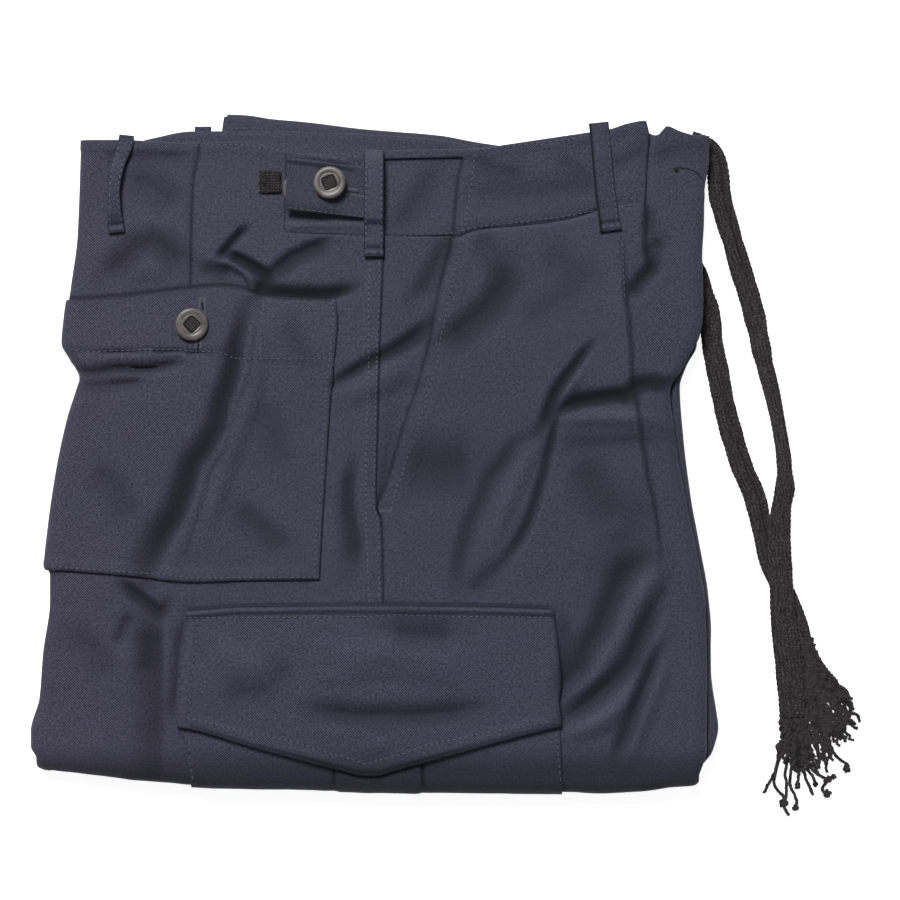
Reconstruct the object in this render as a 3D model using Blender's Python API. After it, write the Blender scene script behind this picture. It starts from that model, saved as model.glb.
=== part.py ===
# Cargo trousers, folded and lying flat, with their drawstring beside them
#
# The left half lies on top with its side seam in the middle. The centre-back fold is at -X, the fly at
# +X, the waist at +Y and the fold across the thighs at -Y. Below the left half lies the right one, and
# the legs are folded under both in thirds. The frame is in metres with +Z up, and its origin is on the
# surface that the cloth lies on, under the middle of the folded cloth. The tables below are in
# millimetres.

import math

import bpy
import numpy as np
from mathutils import Vector

MM = 0.001
SEAM_GAP = 0.3
CLOTH = 1.4
PATCH = 1.1
BAND_LIFT = 0.5
BRAID_WIDTH = 12.6
BRAID_THICK = 2.6

# Lines of the cutting plan, as (x, y). Columns run from the waist to the thigh fold, rows from the back
# to the front.

COLUMNS = {
    "back_fold": [
        (-168, 179), (-169, 144), (-170, 122), (-173, 99), (-176, 76), (-177, 63), (-172, 53), (-167, 43),
        (-169, 36), (-174, 20), (-180, -8), (-185, -42), (-187, -64), (-185, -69), (-185, -84),
        (-189, -114), (-191, -139), (-196, -158), (-196, -167), (-193, -173), (-192, -180),
    ],
    "back_seam": [
        (-100, 175), (-104, 150), (-105, 93), (-106, 30), (-107, -88), (-110, -114), (-112, -155),
        (-107, -166), (-104, -189),
    ],
    "tab_edge": [(-50, 170), (-51, 124), (-57, 87), (-63, -69), (-64, -88), (-64, -189)],
    "pocket_edge": [
        (-20, 175), (-21, 122), (-22, 87), (-21, 76), (-23, 52), (-25, 29), (-27, 0), (-30, -48),
        (-31, -69), (-28, -88), (-24, -141), (-21, -179), (-21, -192),
    ],
    "side_seam": [(5, 173), (5, 124), (3, 62), (2, 19), (1, -31), (4, -38), (5, -84), (3, -141), (2, -192)],
    "slash": [
        (50, 179), (50, 169), (47, 156), (46, 144), (44, 124), (39, 105), (35, 87), (30, 60), (24, 38),
        (16, 15), (9, -9), (3.4, -26), (1.7, -31), (4, -38), (5, -84), (3, -141), (2, -192),
    ],
    "flap_edge": [
        (103, 184), (100, 122), (97, 87), (97, -27), (101, -87), (104, -115), (105, -146), (107, -191),
    ],
    "fly": [
        (160, 181), (157, 171), (154, 140), (153, 116), (156, 106), (158, 87), (157, 30), (160, -37),
        (162, -84), (165, -141), (167, -192),
    ],
    "front_edge": [
        (190, 179), (190, 166), (188, 155), (187, 148), (186, 109), (187, 92), (187, 81), (185, 67),
        (181, 59), (175, 48), (169, 39), (168, 34), (170, 17), (173, -5), (178, -32), (185, -66),
        (188, -84), (189, -129), (189, -167), (185, -182), (180, -191),
    ],
}

ROWS = {
    "waist": [
        (-168, 179), (-146, 179), (-105, 177), (-77, 178), (-54, 173), (-43, 171), (-20, 171), (-6, 172),
        (26, 173), (60, 174), (74, 176), (94, 179), (121, 183), (134, 185), (153, 188), (158, 183),
        (162, 182), (168, 187), (174, 184), (186, 182), (190, 179),
    ],
    "band_seam": [
        (-170, 126), (-51, 126), (-31, 125), (-9, 124), (44, 124), (60, 129), (83, 131), (111, 135),
        (128, 140), (156, 143), (188, 144),
    ],
    "pocket_top": [
        (-174, 87), (-145, 89), (-128, 91), (-111, 93), (-88, 95), (-77, 94), (-63, 89), (-22, 87), (4, 89),
        (37, 95), (94, 103), (154, 109), (187, 109),
    ],
    "pocket_bottom": [
        (-185, -66), (-145, -69), (-103, -73), (-70, -72), (4, -71), (43, -69), (103, -66), (185, -61),
    ],
    "flap_top": [
        (-185, -89), (-107, -88), (-77, -86), (5, -85), (71, -86), (101, -87), (128, -84), (190, -79),
    ],
    "flap_point": [
        (-194, -151), (-157, -152), (-112, -155), (-66, -167), (-21, -178.5), (-6, -182), (1, -182),
        (10, -179.5), (30, -174), (71, -163), (104, -155), (128, -152), (194, -149),
    ],
    "thigh_fold": [
        (-192, -180), (-174, -182), (-131, -187), (-88, -190), (-20, -191), (24, -192), (105, -193),
        (128, -194), (155, -193), (169, -191), (180, -190),
    ],
}

# The cloth rolls over its folds on a quarter oval and a little under: reach across the plan, half height,
# last angle.

SIDE_ROLL = {"reach": 9.0, "half": 3.1, "angles": [30, 60, 90, 118, 145]}
END_ROLL = {"reach": 7.5, "floor": 0.8, "angles": [26, 50, 72, 92, 115, 145]}

# Height of the smooth upper surface along the garment, at its back edge, middle and front edge.

PILE = {
    "station": [194, 160, 125, 60, 0, -70, -130, -165, -194],
    "back": [8.5, 9.0, 10.0, 13.0, 15.5, 17.0, 17.0, 16.6, 15.6],
    "middle": [12.0, 13.5, 16.0, 20.5, 23.0, 24.5, 24.2, 22.6, 18.0],
    "front": [11.0, 12.0, 13.5, 16.5, 18.0, 19.0, 19.0, 18.4, 16.4],
}

# Folds of the cloth: path over the plan, half width to the left and to the right of the path as one walks
# along it, and height of a ridge or, below zero, depth of a trough.

FOLDS = [
    ("seat arch", [(-155, 98), (-140, 113), (-126, 119), (-106, 103)], 12, 9, -1.9),
    ("seat gather", [(-72, 130), (-80, 122), (-89, 109), (-97, 102)], 8, 8, -2.2),
    ("seat hollow", [(-26, 122), (-42, 115), (-55, 106), (-62, 92)], 7, 9, -2.6),
    ("pocket mouth", [(-66, 92), (-43, 86), (-20, 86), (-8, 94)], 7, 8, -3.0),
    ("gather ridge", [(-90, 112), (-77, 105), (-71, 92)], 6, 8, 1.6),
    ("through the pocket", [
        (-71, 84), (-78, 60), (-84, 36), (-90, 14), (-104, -14), (-109, -33), (-121, -50), (-129, -70),
    ], 10, 14, -3.6),
    ("pocket ridge", [
        (-64, 72), (-68, 45), (-76, 20), (-84, -2), (-95, -22), (-101, -48), (-108, -68),
    ], 13, 9, 2.0),
    ("notch", [(-172, 47), (-145, 49), (-112, 49)], 7, 6, -2.8),
    ("hip crease", [(-24, 38), (-9, 49), (10, 58), (30, 67), (50, 72), (66, 86), (79, 108)], 8, 10, -2.3),
    ("beside the pocket", [(-8, -4), (-14, -28), (-12, -48), (-10, -68)], 9, 8, -1.5),
    ("front hollow", [(22, 4), (44, -10)], 14, 14, -1.5),
    ("front fold upper", [
        (124, 62), (107, 41), (99, 24), (92, 10), (80, 4), (70, -10), (60, -26),
    ], 12, 9, -3.0),
    ("front fold lower", [(109, 30), (101, 6), (94, -15), (86, -42), (74, -66)], 8, 9, -2.4),
    ("front ridge", [(103, 34), (96, 8), (84, -18)], 7, 7, 1.5),
    ("knee hollow", [(108, 26), (122, 32), (142, 33), (168, 46)], 8, 8, -2.6),
    ("knee ridge", [(104, 15), (128, 19), (156, 18)], 9, 9, 1.4),
    ("knee lower", [(104, 5), (128, 6), (158, 3)], 8, 8, -1.2),
    ("fly end", [(160, 105), (154, 101), (146, 92), (142, 80)], 7, 8, -2.6),
    ("thigh one", [(162, -50), (142, -65), (129, -100), (117, -122), (102, -142)], 9, 10, -2.8),
    ("thigh ridge one", [(166, -58), (155, -76), (139, -107), (124, -128), (107, -146)], 8, 8, 1.8),
    ("thigh two", [(166, -82), (152, -105), (137, -131), (107, -155)], 8, 8, -2.4),
    ("thigh ridge two", [(172, -92), (158, -118), (143, -143), (118, -160)], 7, 7, 1.6),
    ("thigh three", [(166, -112), (150, -142), (139, -172)], 7, 7, -2.0),
    ("hem side", [(-123, -92), (-123, -176)], 9, 16, -1.4),
    ("below the pocket", [(-150, -82), (-134, -85), (-119, -92)], 9, 9, -1.8),
    ("beside the flap", [(-112, -96), (-115, -120), (-116, -142)], 7, 7, -1.8),
    ("across the flap", [(-31, -146), (10, -149), (60, -146)], 10, 12, -1.4),
    ("flap hollow", [(14, -100), (42, -104)], 12, 12, -1.2),
    ("front crease", [
        (141, 119), (142, 90), (145, 59), (146, 41), (152, 5), (157, -25), (161, -61),
    ], 4, 5, 0.8),
]
FOLD_LIMIT = 4.2
FOLD_FADE = 22.0
EDGE_SHARE = 0.35
PLAN_STEPS = 30
CORNER_STEPS = 12


def curve(points, at):
    """Value at any place of a smooth curve through (place, value) points that never swings past them."""
    points = sorted(points)
    place = np.array([p[0] for p in points], float)
    value = np.array([p[1] for p in points], float)
    step = np.diff(place)
    slope = np.diff(value) / step
    product = slope[:-1] * slope[1:]
    total = np.where(product > 0, slope[:-1] + slope[1:], 1.0)
    tangent = np.concatenate(([slope[0]], np.where(product > 0, 2 * product / total, 0.0), [slope[-1]]))
    at = np.clip(at, place[0], place[-1])
    k = np.clip(np.searchsorted(place, at) - 1, 0, len(step) - 1)
    s = (at - place[k]) / step[k]
    rise = (3 - 2 * s) * s * s
    bend = tangent[k] * s * (1 - s) ** 2 - tangent[k + 1] * s * s * (1 - s)
    return value[k] + rise * (value[k + 1] - value[k]) + step[k] * bend


def column_x(name, y):
    """Where a column line stands at height y of the plan; the outer ones stop where the cloth starts to roll."""
    reach = {"back_fold": SIDE_ROLL["reach"], "front_edge": -SIDE_ROLL["reach"]}.get(name, 0.0)
    return curve([(p[1], p[0]) for p in COLUMNS[name]], y) + reach


def row_y(name, x):
    """Where a row line stands at x of the plan; the last one stops where the cloth starts to roll."""
    return curve(ROWS[name], x) + (END_ROLL["reach"] if name == "thigh_fold" else 0.0)


def between(line, names, number, at):
    """A line between two named neighbours: 2.5 is half way from the third to the fourth."""
    low = min(int(number), len(names) - 2)
    share = number - low
    return (1 - share) * line(names[low], at) + share * line(names[low + 1], at)


def plan(columns, rows):
    """Places where numbered column and row lines cross, found by walking along one and the other in turn."""
    column_names, row_names = list(COLUMNS), list(ROWS)
    x = np.zeros((len(columns), len(rows)))
    y = np.zeros((len(columns), len(rows)))
    for _ in range(PLAN_STEPS):
        for j, row in enumerate(rows):
            y[:, j] = between(row_y, row_names, row, x[:, j])
        for i, column in enumerate(columns):
            x[i] = between(column_x, column_names, column, y[i])
    return x, y


def near_path(x, y, path):
    """Signed distance from a path, left of it above zero, and how far along it the nearest point is, 0 to 1."""
    best = np.full(x.shape, 1e9)
    side = np.zeros(x.shape)
    along = np.zeros(x.shape)
    lengths = [math.dist(a, b) for a, b in zip(path, path[1:])]
    walked = 0.0
    for (ax, ay), (bx, by), length in zip(path, path[1:], lengths):
        ux, uy = (bx - ax) / length, (by - ay) / length
        t = np.clip((x - ax) * ux + (y - ay) * uy, 0, length)
        distance = np.hypot(x - ax - t * ux, y - ay - t * uy)
        closer = distance < best
        best = np.where(closer, distance, best)
        side = np.where(closer, ux * (y - ay) - uy * (x - ax), side)
        along = np.where(closer, (walked + t) / sum(lengths), along)
        walked += length
    return np.where(side < 0, -best, best), along


def fold_height(x, y):
    """Sum of all folds at a place, kept within a limit."""
    total = np.zeros(x.shape)
    for _, path, left, right, height in FOLDS:
        distance, along = near_path(x, y, path)
        q = np.clip(np.abs(distance) / np.where(distance > 0, left, right), 0, 1)
        taper = np.clip(np.minimum(along, 1 - along) * 5 + 0.35, 0, 1)
        total += height * taper * (1 - q * q) ** 2
    return FOLD_LIMIT * np.tanh(total / FOLD_LIMIT)


def pile_height(x, y):
    """Height of the smooth upper surface: a low pillow between the two edges."""
    across = np.clip(x / 195, -1, 1)
    back, middle, front = (curve(list(zip(PILE["station"], PILE[k])), y) for k in ("back", "middle", "front"))
    edge = np.where(across < 0, back, front)
    return middle + (edge - middle) * np.abs(across) ** 2.4


def edge_room(x, y):
    """From 0 at the start of a roll to 1 well inside, so that folds run out before the edges of the cloth."""
    inside = np.minimum(x - column_x("back_fold", y), column_x("front_edge", y) - x)
    inside = np.minimum(inside, y - row_y("thigh_fold", x))
    inside = np.minimum(inside, (row_y("waist", x) - y) * 2)
    s = np.clip(inside / FOLD_FADE, 0, 1)
    return EDGE_SHARE + (1 - EDGE_SHARE) * s * s * (3 - 2 * s)


def top_height(x, y):
    """Height of the outer side of the cloth, folds and all."""
    return pile_height(x, y) + fold_height(x, y) * edge_room(x, y)


def steps(*runs):
    """Numbers of lines from one named line to the next: each run is (first, last, count)."""
    numbers = [runs[0][0]]
    for first, last, count in runs:
        numbers += [first + (last - first) * (k + 1) / count for k in range(count)]
    return numbers


# The master grid: one set of points for all of the upper cloth, from which every piece of it is cut.

BACK, SEAM, TAB, POCKET, SIDE, SLASH, FLAP, FLY, FRONT = range(9)
WAIST, BAND, POCKET_TOP, POCKET_LOW, FLAP_TOP, FLAP_LOW, THIGH = range(7)
NOTCH_TOP = 0.1
SLASH_END = 2.75

flat_columns = steps(
    (BACK, SEAM, 5), (SEAM, TAB, 5), (TAB, POCKET, 3), (POCKET, SIDE, 3), (SIDE, SLASH, 3), (SLASH, FLAP, 7),
    (FLAP, FLY, 5), (FLY, FRONT, 2),
)
flat_rows = steps(
    (WAIST, NOTCH_TOP, 1), (NOTCH_TOP, BAND, 4), (BAND, POCKET_TOP, 3), (POCKET_TOP, SLASH_END, 10),
    (SLASH_END, POCKET_LOW, 4), (POCKET_LOW, FLAP_TOP, 2), (FLAP_TOP, FLAP_LOW, 6), (FLAP_LOW, THIGH, 2),
)
side_angles = SIDE_ROLL["angles"]
end_angles = END_ROLL["angles"]
ROLL = len(side_angles)


def column_at(number):
    """Place of a numbered column line in the master grid."""
    return ROLL + min(range(len(flat_columns)), key=lambda k: abs(flat_columns[k] - number))


def row_at(number):
    """Place of a numbered row line in the master grid."""
    return min(range(len(flat_rows)), key=lambda k: abs(flat_rows[k] - number))


def oval_tilt(angle, reach, half):
    """Direction of the surface of an oval roll at an angle from its top."""
    return np.arctan2(np.sin(angle) / reach, np.cos(angle) / half)


def master_grid():
    """Points and outward directions of the upper surface, with the rolls at the back, front and thigh fold."""
    x, y = plan(flat_columns, flat_rows)
    x = np.concatenate([x[:1]] * ROLL + [x] + [x[-1:]] * ROLL)
    y = np.concatenate([y[:1]] * ROLL + [y] + [y[-1:]] * ROLL)
    x = np.concatenate([x] + [x[:, -1:]] * len(end_angles), axis=1)
    y = np.concatenate([y] + [y[:, -1:]] * len(end_angles), axis=1)
    turned = [math.radians(a) for a in side_angles]
    side = np.array([-a for a in reversed(turned)] + [0.0] * len(flat_columns) + turned)[:, None]
    end = np.array([0.0] * len(flat_rows) + [math.radians(a) for a in end_angles])[None, :]

    smooth = pile_height(x, y)
    fade = np.clip(np.cos(side), 0, 1) * np.clip(np.cos(end), 0, 1)
    fold = fold_height(x, y) * edge_room(x, y) * fade
    half = (smooth - END_ROLL["floor"]) / (1 - math.cos(math.radians(end_angles[-1])))
    drop = SIDE_ROLL["half"] * (1 - np.cos(side)) - fold

    end_tilt = oval_tilt(end, END_ROLL["reach"], half)
    side_tilt = oval_tilt(side, SIDE_ROLL["reach"], SIDE_ROLL["half"])
    px = x + SIDE_ROLL["reach"] * np.sin(side)
    py = y - END_ROLL["reach"] * np.sin(end) + drop * np.sin(end_tilt)
    pz = smooth - half * (1 - np.cos(end)) - drop * np.cos(end_tilt)

    near = 1.0
    slope_x = (top_height(x + near, y) - top_height(x - near, y)) / (2 * near) * fade
    slope_y = (top_height(x, y + near) - top_height(x, y - near)) / (2 * near) * fade
    long = np.sqrt(slope_x ** 2 + slope_y ** 2 + 1)
    nx, ny, nz = -slope_x / long, -slope_y / long, 1 / long
    nx, nz = nx * np.cos(side_tilt) + nz * np.sin(side_tilt), nz * np.cos(side_tilt) - nx * np.sin(side_tilt)
    ny, nz = ny * np.cos(end_tilt) - nz * np.sin(end_tilt), nz * np.cos(end_tilt) + ny * np.sin(end_tilt)
    return np.stack([px, py, pz], axis=2), np.stack([nx, ny, nz], axis=2)


def material(name, colour, roughness, metallic=0.0):
    """A plain finish in the piece's own colour."""
    made = bpy.data.materials.get(name) or bpy.data.materials.new(name)
    made.use_nodes = True
    shader = made.node_tree.nodes["Principled BSDF"]
    shader.inputs["Base Color"].default_value = (*colour, 1.0)
    shader.inputs["Roughness"].default_value = roughness
    shader.inputs["Metallic"].default_value = metallic
    made.diffuse_color = (*colour, 1.0)
    return made


FINISHES = {
    "navy drill": ((0.052, 0.052, 0.078), 0.62),
    "black braid": ((0.033, 0.031, 0.034), 0.85),
    "woven tape": ((0.020, 0.019, 0.022), 0.9),
    "grey button": ((0.20, 0.19, 0.195), 0.38),
}


def add(name, vertices, faces, finish):
    """A new object from points in millimetres."""
    mesh = bpy.data.meshes.new(name)
    mesh.from_pydata([tuple(c * MM for c in v) for v in vertices], [], faces)
    mesh.update()
    piece = bpy.data.objects.new(name, mesh)
    bpy.context.scene.collection.objects.link(piece)
    colour, roughness = FINISHES[finish]
    mesh.materials.append(material(finish, colour, roughness))
    mesh.shade_smooth()
    mesh.set_sharp_from_angle(angle=math.radians(50))
    return piece


def wall(name, outer, inner, kept, finish="navy drill", sides=0.16):
    """A closed wall between an outer and an inner grid of points. kept says which cells of the grid it has.

    Its free edges draw in by half a seam gap, so that neighbours cut from one grid don't touch.
    """
    columns, rows = kept.shape
    centre = (outer[:-1, :-1] + outer[1:, :-1] + outer[:-1, 1:] + outer[1:, 1:]) / 4
    use = np.zeros((columns + 1, rows + 1))
    pull = np.zeros(outer.shape)
    for di in (0, 1):
        for dj in (0, 1):
            use[di:columns + di, dj:rows + dj] += kept
            pull[di:columns + di, dj:rows + dj] += np.where(kept[..., None], centre, 0)
    rim = (use > 0) & (use < 4)
    pull = pull / np.maximum(use, 1)[..., None] - outer
    pull = np.where(rim[..., None], pull / np.maximum(np.linalg.norm(pull, axis=2), 1e-6)[..., None], 0) * sides
    number = -np.ones(use.shape, int)
    number[use > 0] = range(int((use > 0).sum()))
    count = int((use > 0).sum())
    vertices = [tuple(p) for p in (outer + pull)[use > 0]] + [tuple(p) for p in (inner + pull)[use > 0]]

    faces = []
    for i in range(columns):
        for j in range(rows):
            if not kept[i, j]:
                continue
            ring = [number[i, j], number[i, j + 1], number[i + 1, j + 1], number[i + 1, j]]
            for half in (ring[:3], [ring[0], ring[2], ring[3]]):
                faces.append(half)
                faces.append([k + count for k in reversed(half)])
            beside = [i > 0 and kept[i - 1, j], j < rows - 1 and kept[i, j + 1],
                      i < columns - 1 and kept[i + 1, j], j > 0 and kept[i, j - 1]]
            for k in range(4):
                if not beside[k]:
                    a, b = ring[k], ring[(k + 1) % 4]
                    faces.append([b, a, a + count, b + count])
    return add(name, vertices, [[int(k) for k in f] for f in faces], finish)


def cut(name, columns, rows, keep=None, lift=0.0, thick=CLOTH, rise=None):
    """A piece cut from the master grid: its columns and rows, the cells it keeps and how far out it lies."""
    at = np.ix_(columns, rows)
    points, out = POINTS[at], OUT[at]
    more = rise(points[..., 0], points[..., 1])[..., None] if rise else 0.0
    outer = points + out * (lift + more)
    kept = np.ones((len(columns) - 1, len(rows) - 1), bool)
    if keep:
        for i in range(len(columns) - 1):
            for j in range(len(rows) - 1):
                kept[i, j] = keep(columns[i], rows[j])
    return wall(name, outer, outer - out * thick, kept)


def upper_cloth():
    """Back, front, waistband and the pieces set in below them, all from the master grid."""
    all_rows = list(range(POINTS.shape[1]))
    band, top, fly = row_at(BAND), row_at(POCKET_TOP), column_at(FLY)
    side, slash = column_at(SIDE), column_at(SLASH)
    below = -(CLOTH + SEAM_GAP)

    cut("back_panel", list(range(side + 1)), all_rows, lambda i, j: i < column_at(TAB) or j >= band)
    cut("front_panel", list(range(slash, POINTS.shape[0])), all_rows[band:], lambda i, j: i < fly or j >= top)
    notch_row = row_at(NOTCH_TOP)
    cut("waistband", list(range(column_at(TAB), fly + 1)), all_rows[:band + 1],
        lambda i, j: not (side <= i < slash and j >= notch_row), lift=BAND_LIFT)
    cut("waistband_inset", list(range(side - 1, slash + 2)), all_rows[notch_row - 1:band + 1],
        lift=below, thick=PATCH)
    facing_rows = all_rows[band:row_at(SLASH_END) + 1]
    cut("pocket_facing", list(range(side, slash + 2)), facing_rows, lift=below, thick=PATCH)
    cut("fly_end", list(range(fly - 1, POINTS.shape[0] - 2)), all_rows[:top + 2],
        lambda i, j: j < top or i < column_at(FRONT), lift=below, thick=PATCH)


BOX_PLEAT = (-22.5, 26.5)
BOX_PLEAT_SLOPE = 3.0
BOX_PLEAT_RISE = 0.7
FLAP_RISE = 0.9
FLAP_DEPTH = 70.0
FLAP_LOOSE = 0.2


def pockets():
    """Back patch pocket, cargo pocket bag and cargo flap, each laid on what is below it."""
    patch = SEAM_GAP + PATCH
    rows = list(range(row_at(POCKET_TOP), row_at(POCKET_LOW) + 1))
    cut("back_pocket", list(range(1, column_at(POCKET) + 1)), rows, lift=patch, thick=PATCH)
    across = list(range(column_at(SEAM), column_at(SIDE) + 1))
    across += list(range(column_at(SLASH) + 1, column_at(FLAP) + 1))
    under_flap = list(range(row_at(FLAP_TOP), POINTS.shape[1] - 1))

    def pleat_rise(x, y):
        """The box pleat below the flap lies one cloth proud."""
        inside = np.minimum(x - BOX_PLEAT[0], BOX_PLEAT[1] - x) / BOX_PLEAT_SLOPE
        below = (curve(ROWS["flap_point"], x) - y) / BOX_PLEAT_SLOPE
        return BOX_PLEAT_RISE * np.clip(inside, 0, 1) * np.clip(below, 0, 1)

    cut("cargo_pocket", across, under_flap, lift=patch, thick=PATCH, rise=pleat_rise)

    def flap_rise(x, y):
        """The flap lies a little proud along its pointed edge."""
        return FLAP_RISE * np.clip((curve(ROWS["flap_top"], x) - y) / FLAP_DEPTH, 0, 1)

    flap_rows = list(range(row_at(FLAP_TOP), row_at(FLAP_LOW) + 1))
    cut("cargo_flap", across, flap_rows, lift=2 * patch + FLAP_LOOSE, thick=PATCH, rise=flap_rise)


# Outline of the hidden layers where it is their own, as (x, y).

LEG_FRONT = [
    (180, 181), (182.8, 173), (185, 166), (187.4, 158), (188.4, 148), (186, 130), (180, 114), (178, 98),
    (179, 84), (183, 70), (184, 62), (178, 50), (174, 38), (176, 9), (180, -23), (185, -51), (190, -79),
    (192, -105), (192, -125), (195, -148), (196, -156), (193, -170), (187, -178), (182, -188),
]
LEG_TOP = [
    (-168, 172), (-105, 170), (-88, 170), (-86.5, 194.3), (-74, 193.8), (-60, 191.5), (-43, 190), (-9, 186),
    (37, 182), (59, 178), (94, 173), (128, 168), (190, 162),
]
LEG_CORNERS = {"back": (-168, 165), "thigh": (-190, -180), "front": (180, -188), "waist": (176, 160)}
LEG_STEP = {"foot": -88.2, "head": -86.4}

# Rings of the hidden layers, from the floor up: share of the height below the rolled edge, and how far
# each side stands in from the outline.

LEG_RINGS = [
    ("on the floor", 0.00, 3.4, 12.0, 2.5, 2.5),
    ("lower fold, below", 0.10, 1.2, 11.0, 0.8, 0.8),
    ("lower fold", 0.28, 0.5, 10.0, 0.3, 0.0),
    ("between the folds", 0.48, 2.6, 9.5, 2.3, 2.0),
    ("upper fold, below", 0.60, 0.9, 9.0, 0.6, 0.4),
    ("upper fold", 0.78, 0.5, 8.5, 0.0, 0.6),
    ("upper fold, above", 0.94, 1.6, 8.5, 1.3, 1.8),
    ("shelf", 1.00, 4.4, 9.5, 4.0, 4.5),
]
ROLL_ROOM = 6.2
LEAST_ROLL = 1.2
INNER_ROOM = 8.6
LEG_DOME = {
    "in": (8.0, 15.0, 8.0, 32.0),
    "rings": ((1.0, 7.6), (0.88, INNER_ROOM), (0.66, INNER_ROOM), (0.36, INNER_ROOM)),
}
RING_STEPS = {"back": 18, "thigh": 16, "front": 19, "waist": 17}


def leg_ring(back, thigh, front, waist):
    """Plan of one ring of the hidden layers, standing in from the outline by the four distances."""

    def back_x(y):
        return curve([(p[1], p[0]) for p in COLUMNS["back_fold"]], y) + back

    def front_x(y):
        return curve([(p[1], p[0]) for p in LEG_FRONT], y) - front

    def thigh_y(x):
        return curve(ROWS["thigh_fold"], x) + thigh

    def waist_y(x):
        return curve(LEG_TOP, x) - waist

    def corner(x, y, x_of, y_of):
        for _ in range(CORNER_STEPS):
            x = float(x_of(y))
            y = float(y_of(x))
        return x, y

    meets = {"back": (back_x, waist_y), "thigh": (back_x, thigh_y), "front": (front_x, thigh_y),
             "waist": (front_x, waist_y)}
    corners = [corner(*LEG_CORNERS[side], *meets[side]) for side in LEG_CORNERS]
    ring = []
    sides = list(RING_STEPS.items())
    for k, (side, count) in enumerate(sides):
        (ax, ay), (bx, by) = corners[k], corners[(k + 1) % 4]
        shares = [(n + 0.5) / count for n in range(count)]
        if side == "waist":
            shares = sorted(shares + [(ax - x) / (ax - bx) for x in LEG_STEP.values()])
        for s in shares:
            x, y = ax + (bx - ax) * s, ay + (by - ay) * s
            if side in ("back", "front"):
                x = float((back_x if side == "back" else front_x)(y))
            else:
                y = float((thigh_y if side == "thigh" else waist_y)(x))
            ring.append((x, y))
    return np.array(ring)


def folded_legs():
    """The hidden layers: a stack of rings with two folds showing at the edges, closed by a low dome."""
    rings = []
    for _, share, back, thigh, front, waist in LEG_RINGS:
        flat = leg_ring(back, thigh, front, waist)
        z = share * np.maximum(pile_height(flat[:, 0], flat[:, 1]) - ROLL_ROOM, LEAST_ROLL)
        rings.append(np.column_stack([flat, z]))
    inside = leg_ring(*LEG_DOME["in"])
    for share, room in LEG_DOME["rings"]:
        flat = inside * share
        z = np.maximum(pile_height(flat[:, 0], flat[:, 1]) - room, LEAST_ROLL)
        rings.append(np.column_stack([flat, z]))
    count = len(rings[0])
    vertices = [tuple(p) for ring in rings for p in ring]
    top_middle = len(vertices)
    vertices.append((0.0, 0.0, float(pile_height(np.zeros(1), np.zeros(1))[0]) - INNER_ROOM))
    floor_middle = len(vertices)
    vertices.append((0.0, 0.0, 0.0))
    faces = []
    for r in range(len(rings) - 1):
        for k in range(count):
            a, b = r * count + k, r * count + (k + 1) % count
            faces.append([a, b, b + count, a + count])
    last = (len(rings) - 1) * count
    for k in range(count):
        faces.append([last + k, last + (k + 1) % count, top_middle])
        faces.append([(k + 1) % count, k, floor_middle])
    add("folded_legs", vertices, faces, "navy drill")


FAR_WAIST = [
    (-136, 178), (-128, 180), (-105, 184), (-54, 184), (-26, 183), (14, 181), (37, 179), (57, 175), (72, 170),
]
FAR_COVERED = 148
FAR_ROOM = 3.7
FAR_THICK = 1.5
FAR_DROOP = 0.5


def far_height(x, share):
    """Height of the right waistband's upper side, from its free edge, share 0, to its covered part, share 1."""
    return pile_height(x, 178 + (FAR_COVERED - 178) * share) - FAR_ROOM - FAR_DROOP * (1 - share) ** 2


def waistband_right():
    """Inner side of the right waistband, standing out above the left one."""
    columns, rows = 15, 5
    x = np.linspace(-135, 70, columns)[:, None] * np.ones((1, rows))
    share = np.linspace(0, 1, rows)[None, :]
    far = curve(FAR_WAIST, x)
    y = far + (FAR_COVERED - far) * share
    outer = np.stack([x, y, far_height(x, share)], axis=2)
    inner = outer - np.array([0, 0, FAR_THICK])
    wall("waistband_right", outer, inner, np.ones((columns - 1, rows - 1), bool))


# Belt loops: x and y of the middle line, height over the cloth, and width there.

LOOPS = {
    "belt_loop_back": [
        (-141.5, 181.5, 0.2, 8.5), (-142.0, 177, -0.1, 9.0), (-146.5, 164, 2.6, 8.0), (-148.5, 150, 3.0, 7.0),
        (-148.3, 138, 2.0, 8.0), (-147.5, 130, -0.05, 9.5), (-147, 125.5, -0.1, 9.5),
    ],
    "belt_loop_side": [
        (-0.6, 172.8, 0.4, 11.4), (-0.6, 166, 3.4, 11.4), (-0.6, 152, 4.6, 11.4), (-0.6, 138, 4.4, 11.4),
        (-0.6, 127, 2.6, 11.4), (-0.6, 118, 1.6, 11.4), (-0.6, 111.8, 1.0, 11.4),
    ],
    "belt_loop_front": [
        (127.4, 188.6, 0.3, 11.4), (128.3, 180, 0.6, 11.4), (129.6, 164, 2.6, 11.6), (131, 150, 2.6, 11.8),
        (133.0, 135, 0.5, 11.8), (134.2, 126.5, 0.05, 11.8),
    ],
}


RIGHT_LOOP = {"x": (-103.2, -93.6), "y": (186.9, 172.0), "below": 0.4, "thick": 1.3}


def belt_loop_right():
    """The top of the right half's belt loop, standing out below its waistband."""
    x = np.linspace(*RIGHT_LOOP["x"], 3)[:, None] * np.ones((1, 4))
    y = np.linspace(*RIGHT_LOOP["y"], 4)[None, :] * np.ones((3, 1))
    z = far_height(x, 0.0 * y) - FAR_THICK - RIGHT_LOOP["below"]
    outer = np.stack([x, y, z], axis=2)
    inner = outer - np.array([0, 0, RIGHT_LOOP["thick"]])
    wall("belt_loop_right", outer, inner, np.ones((2, 3), bool), sides=0.0)


LOOP_THICK = 1.2
LOOP_CROWN = 0.25


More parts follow.
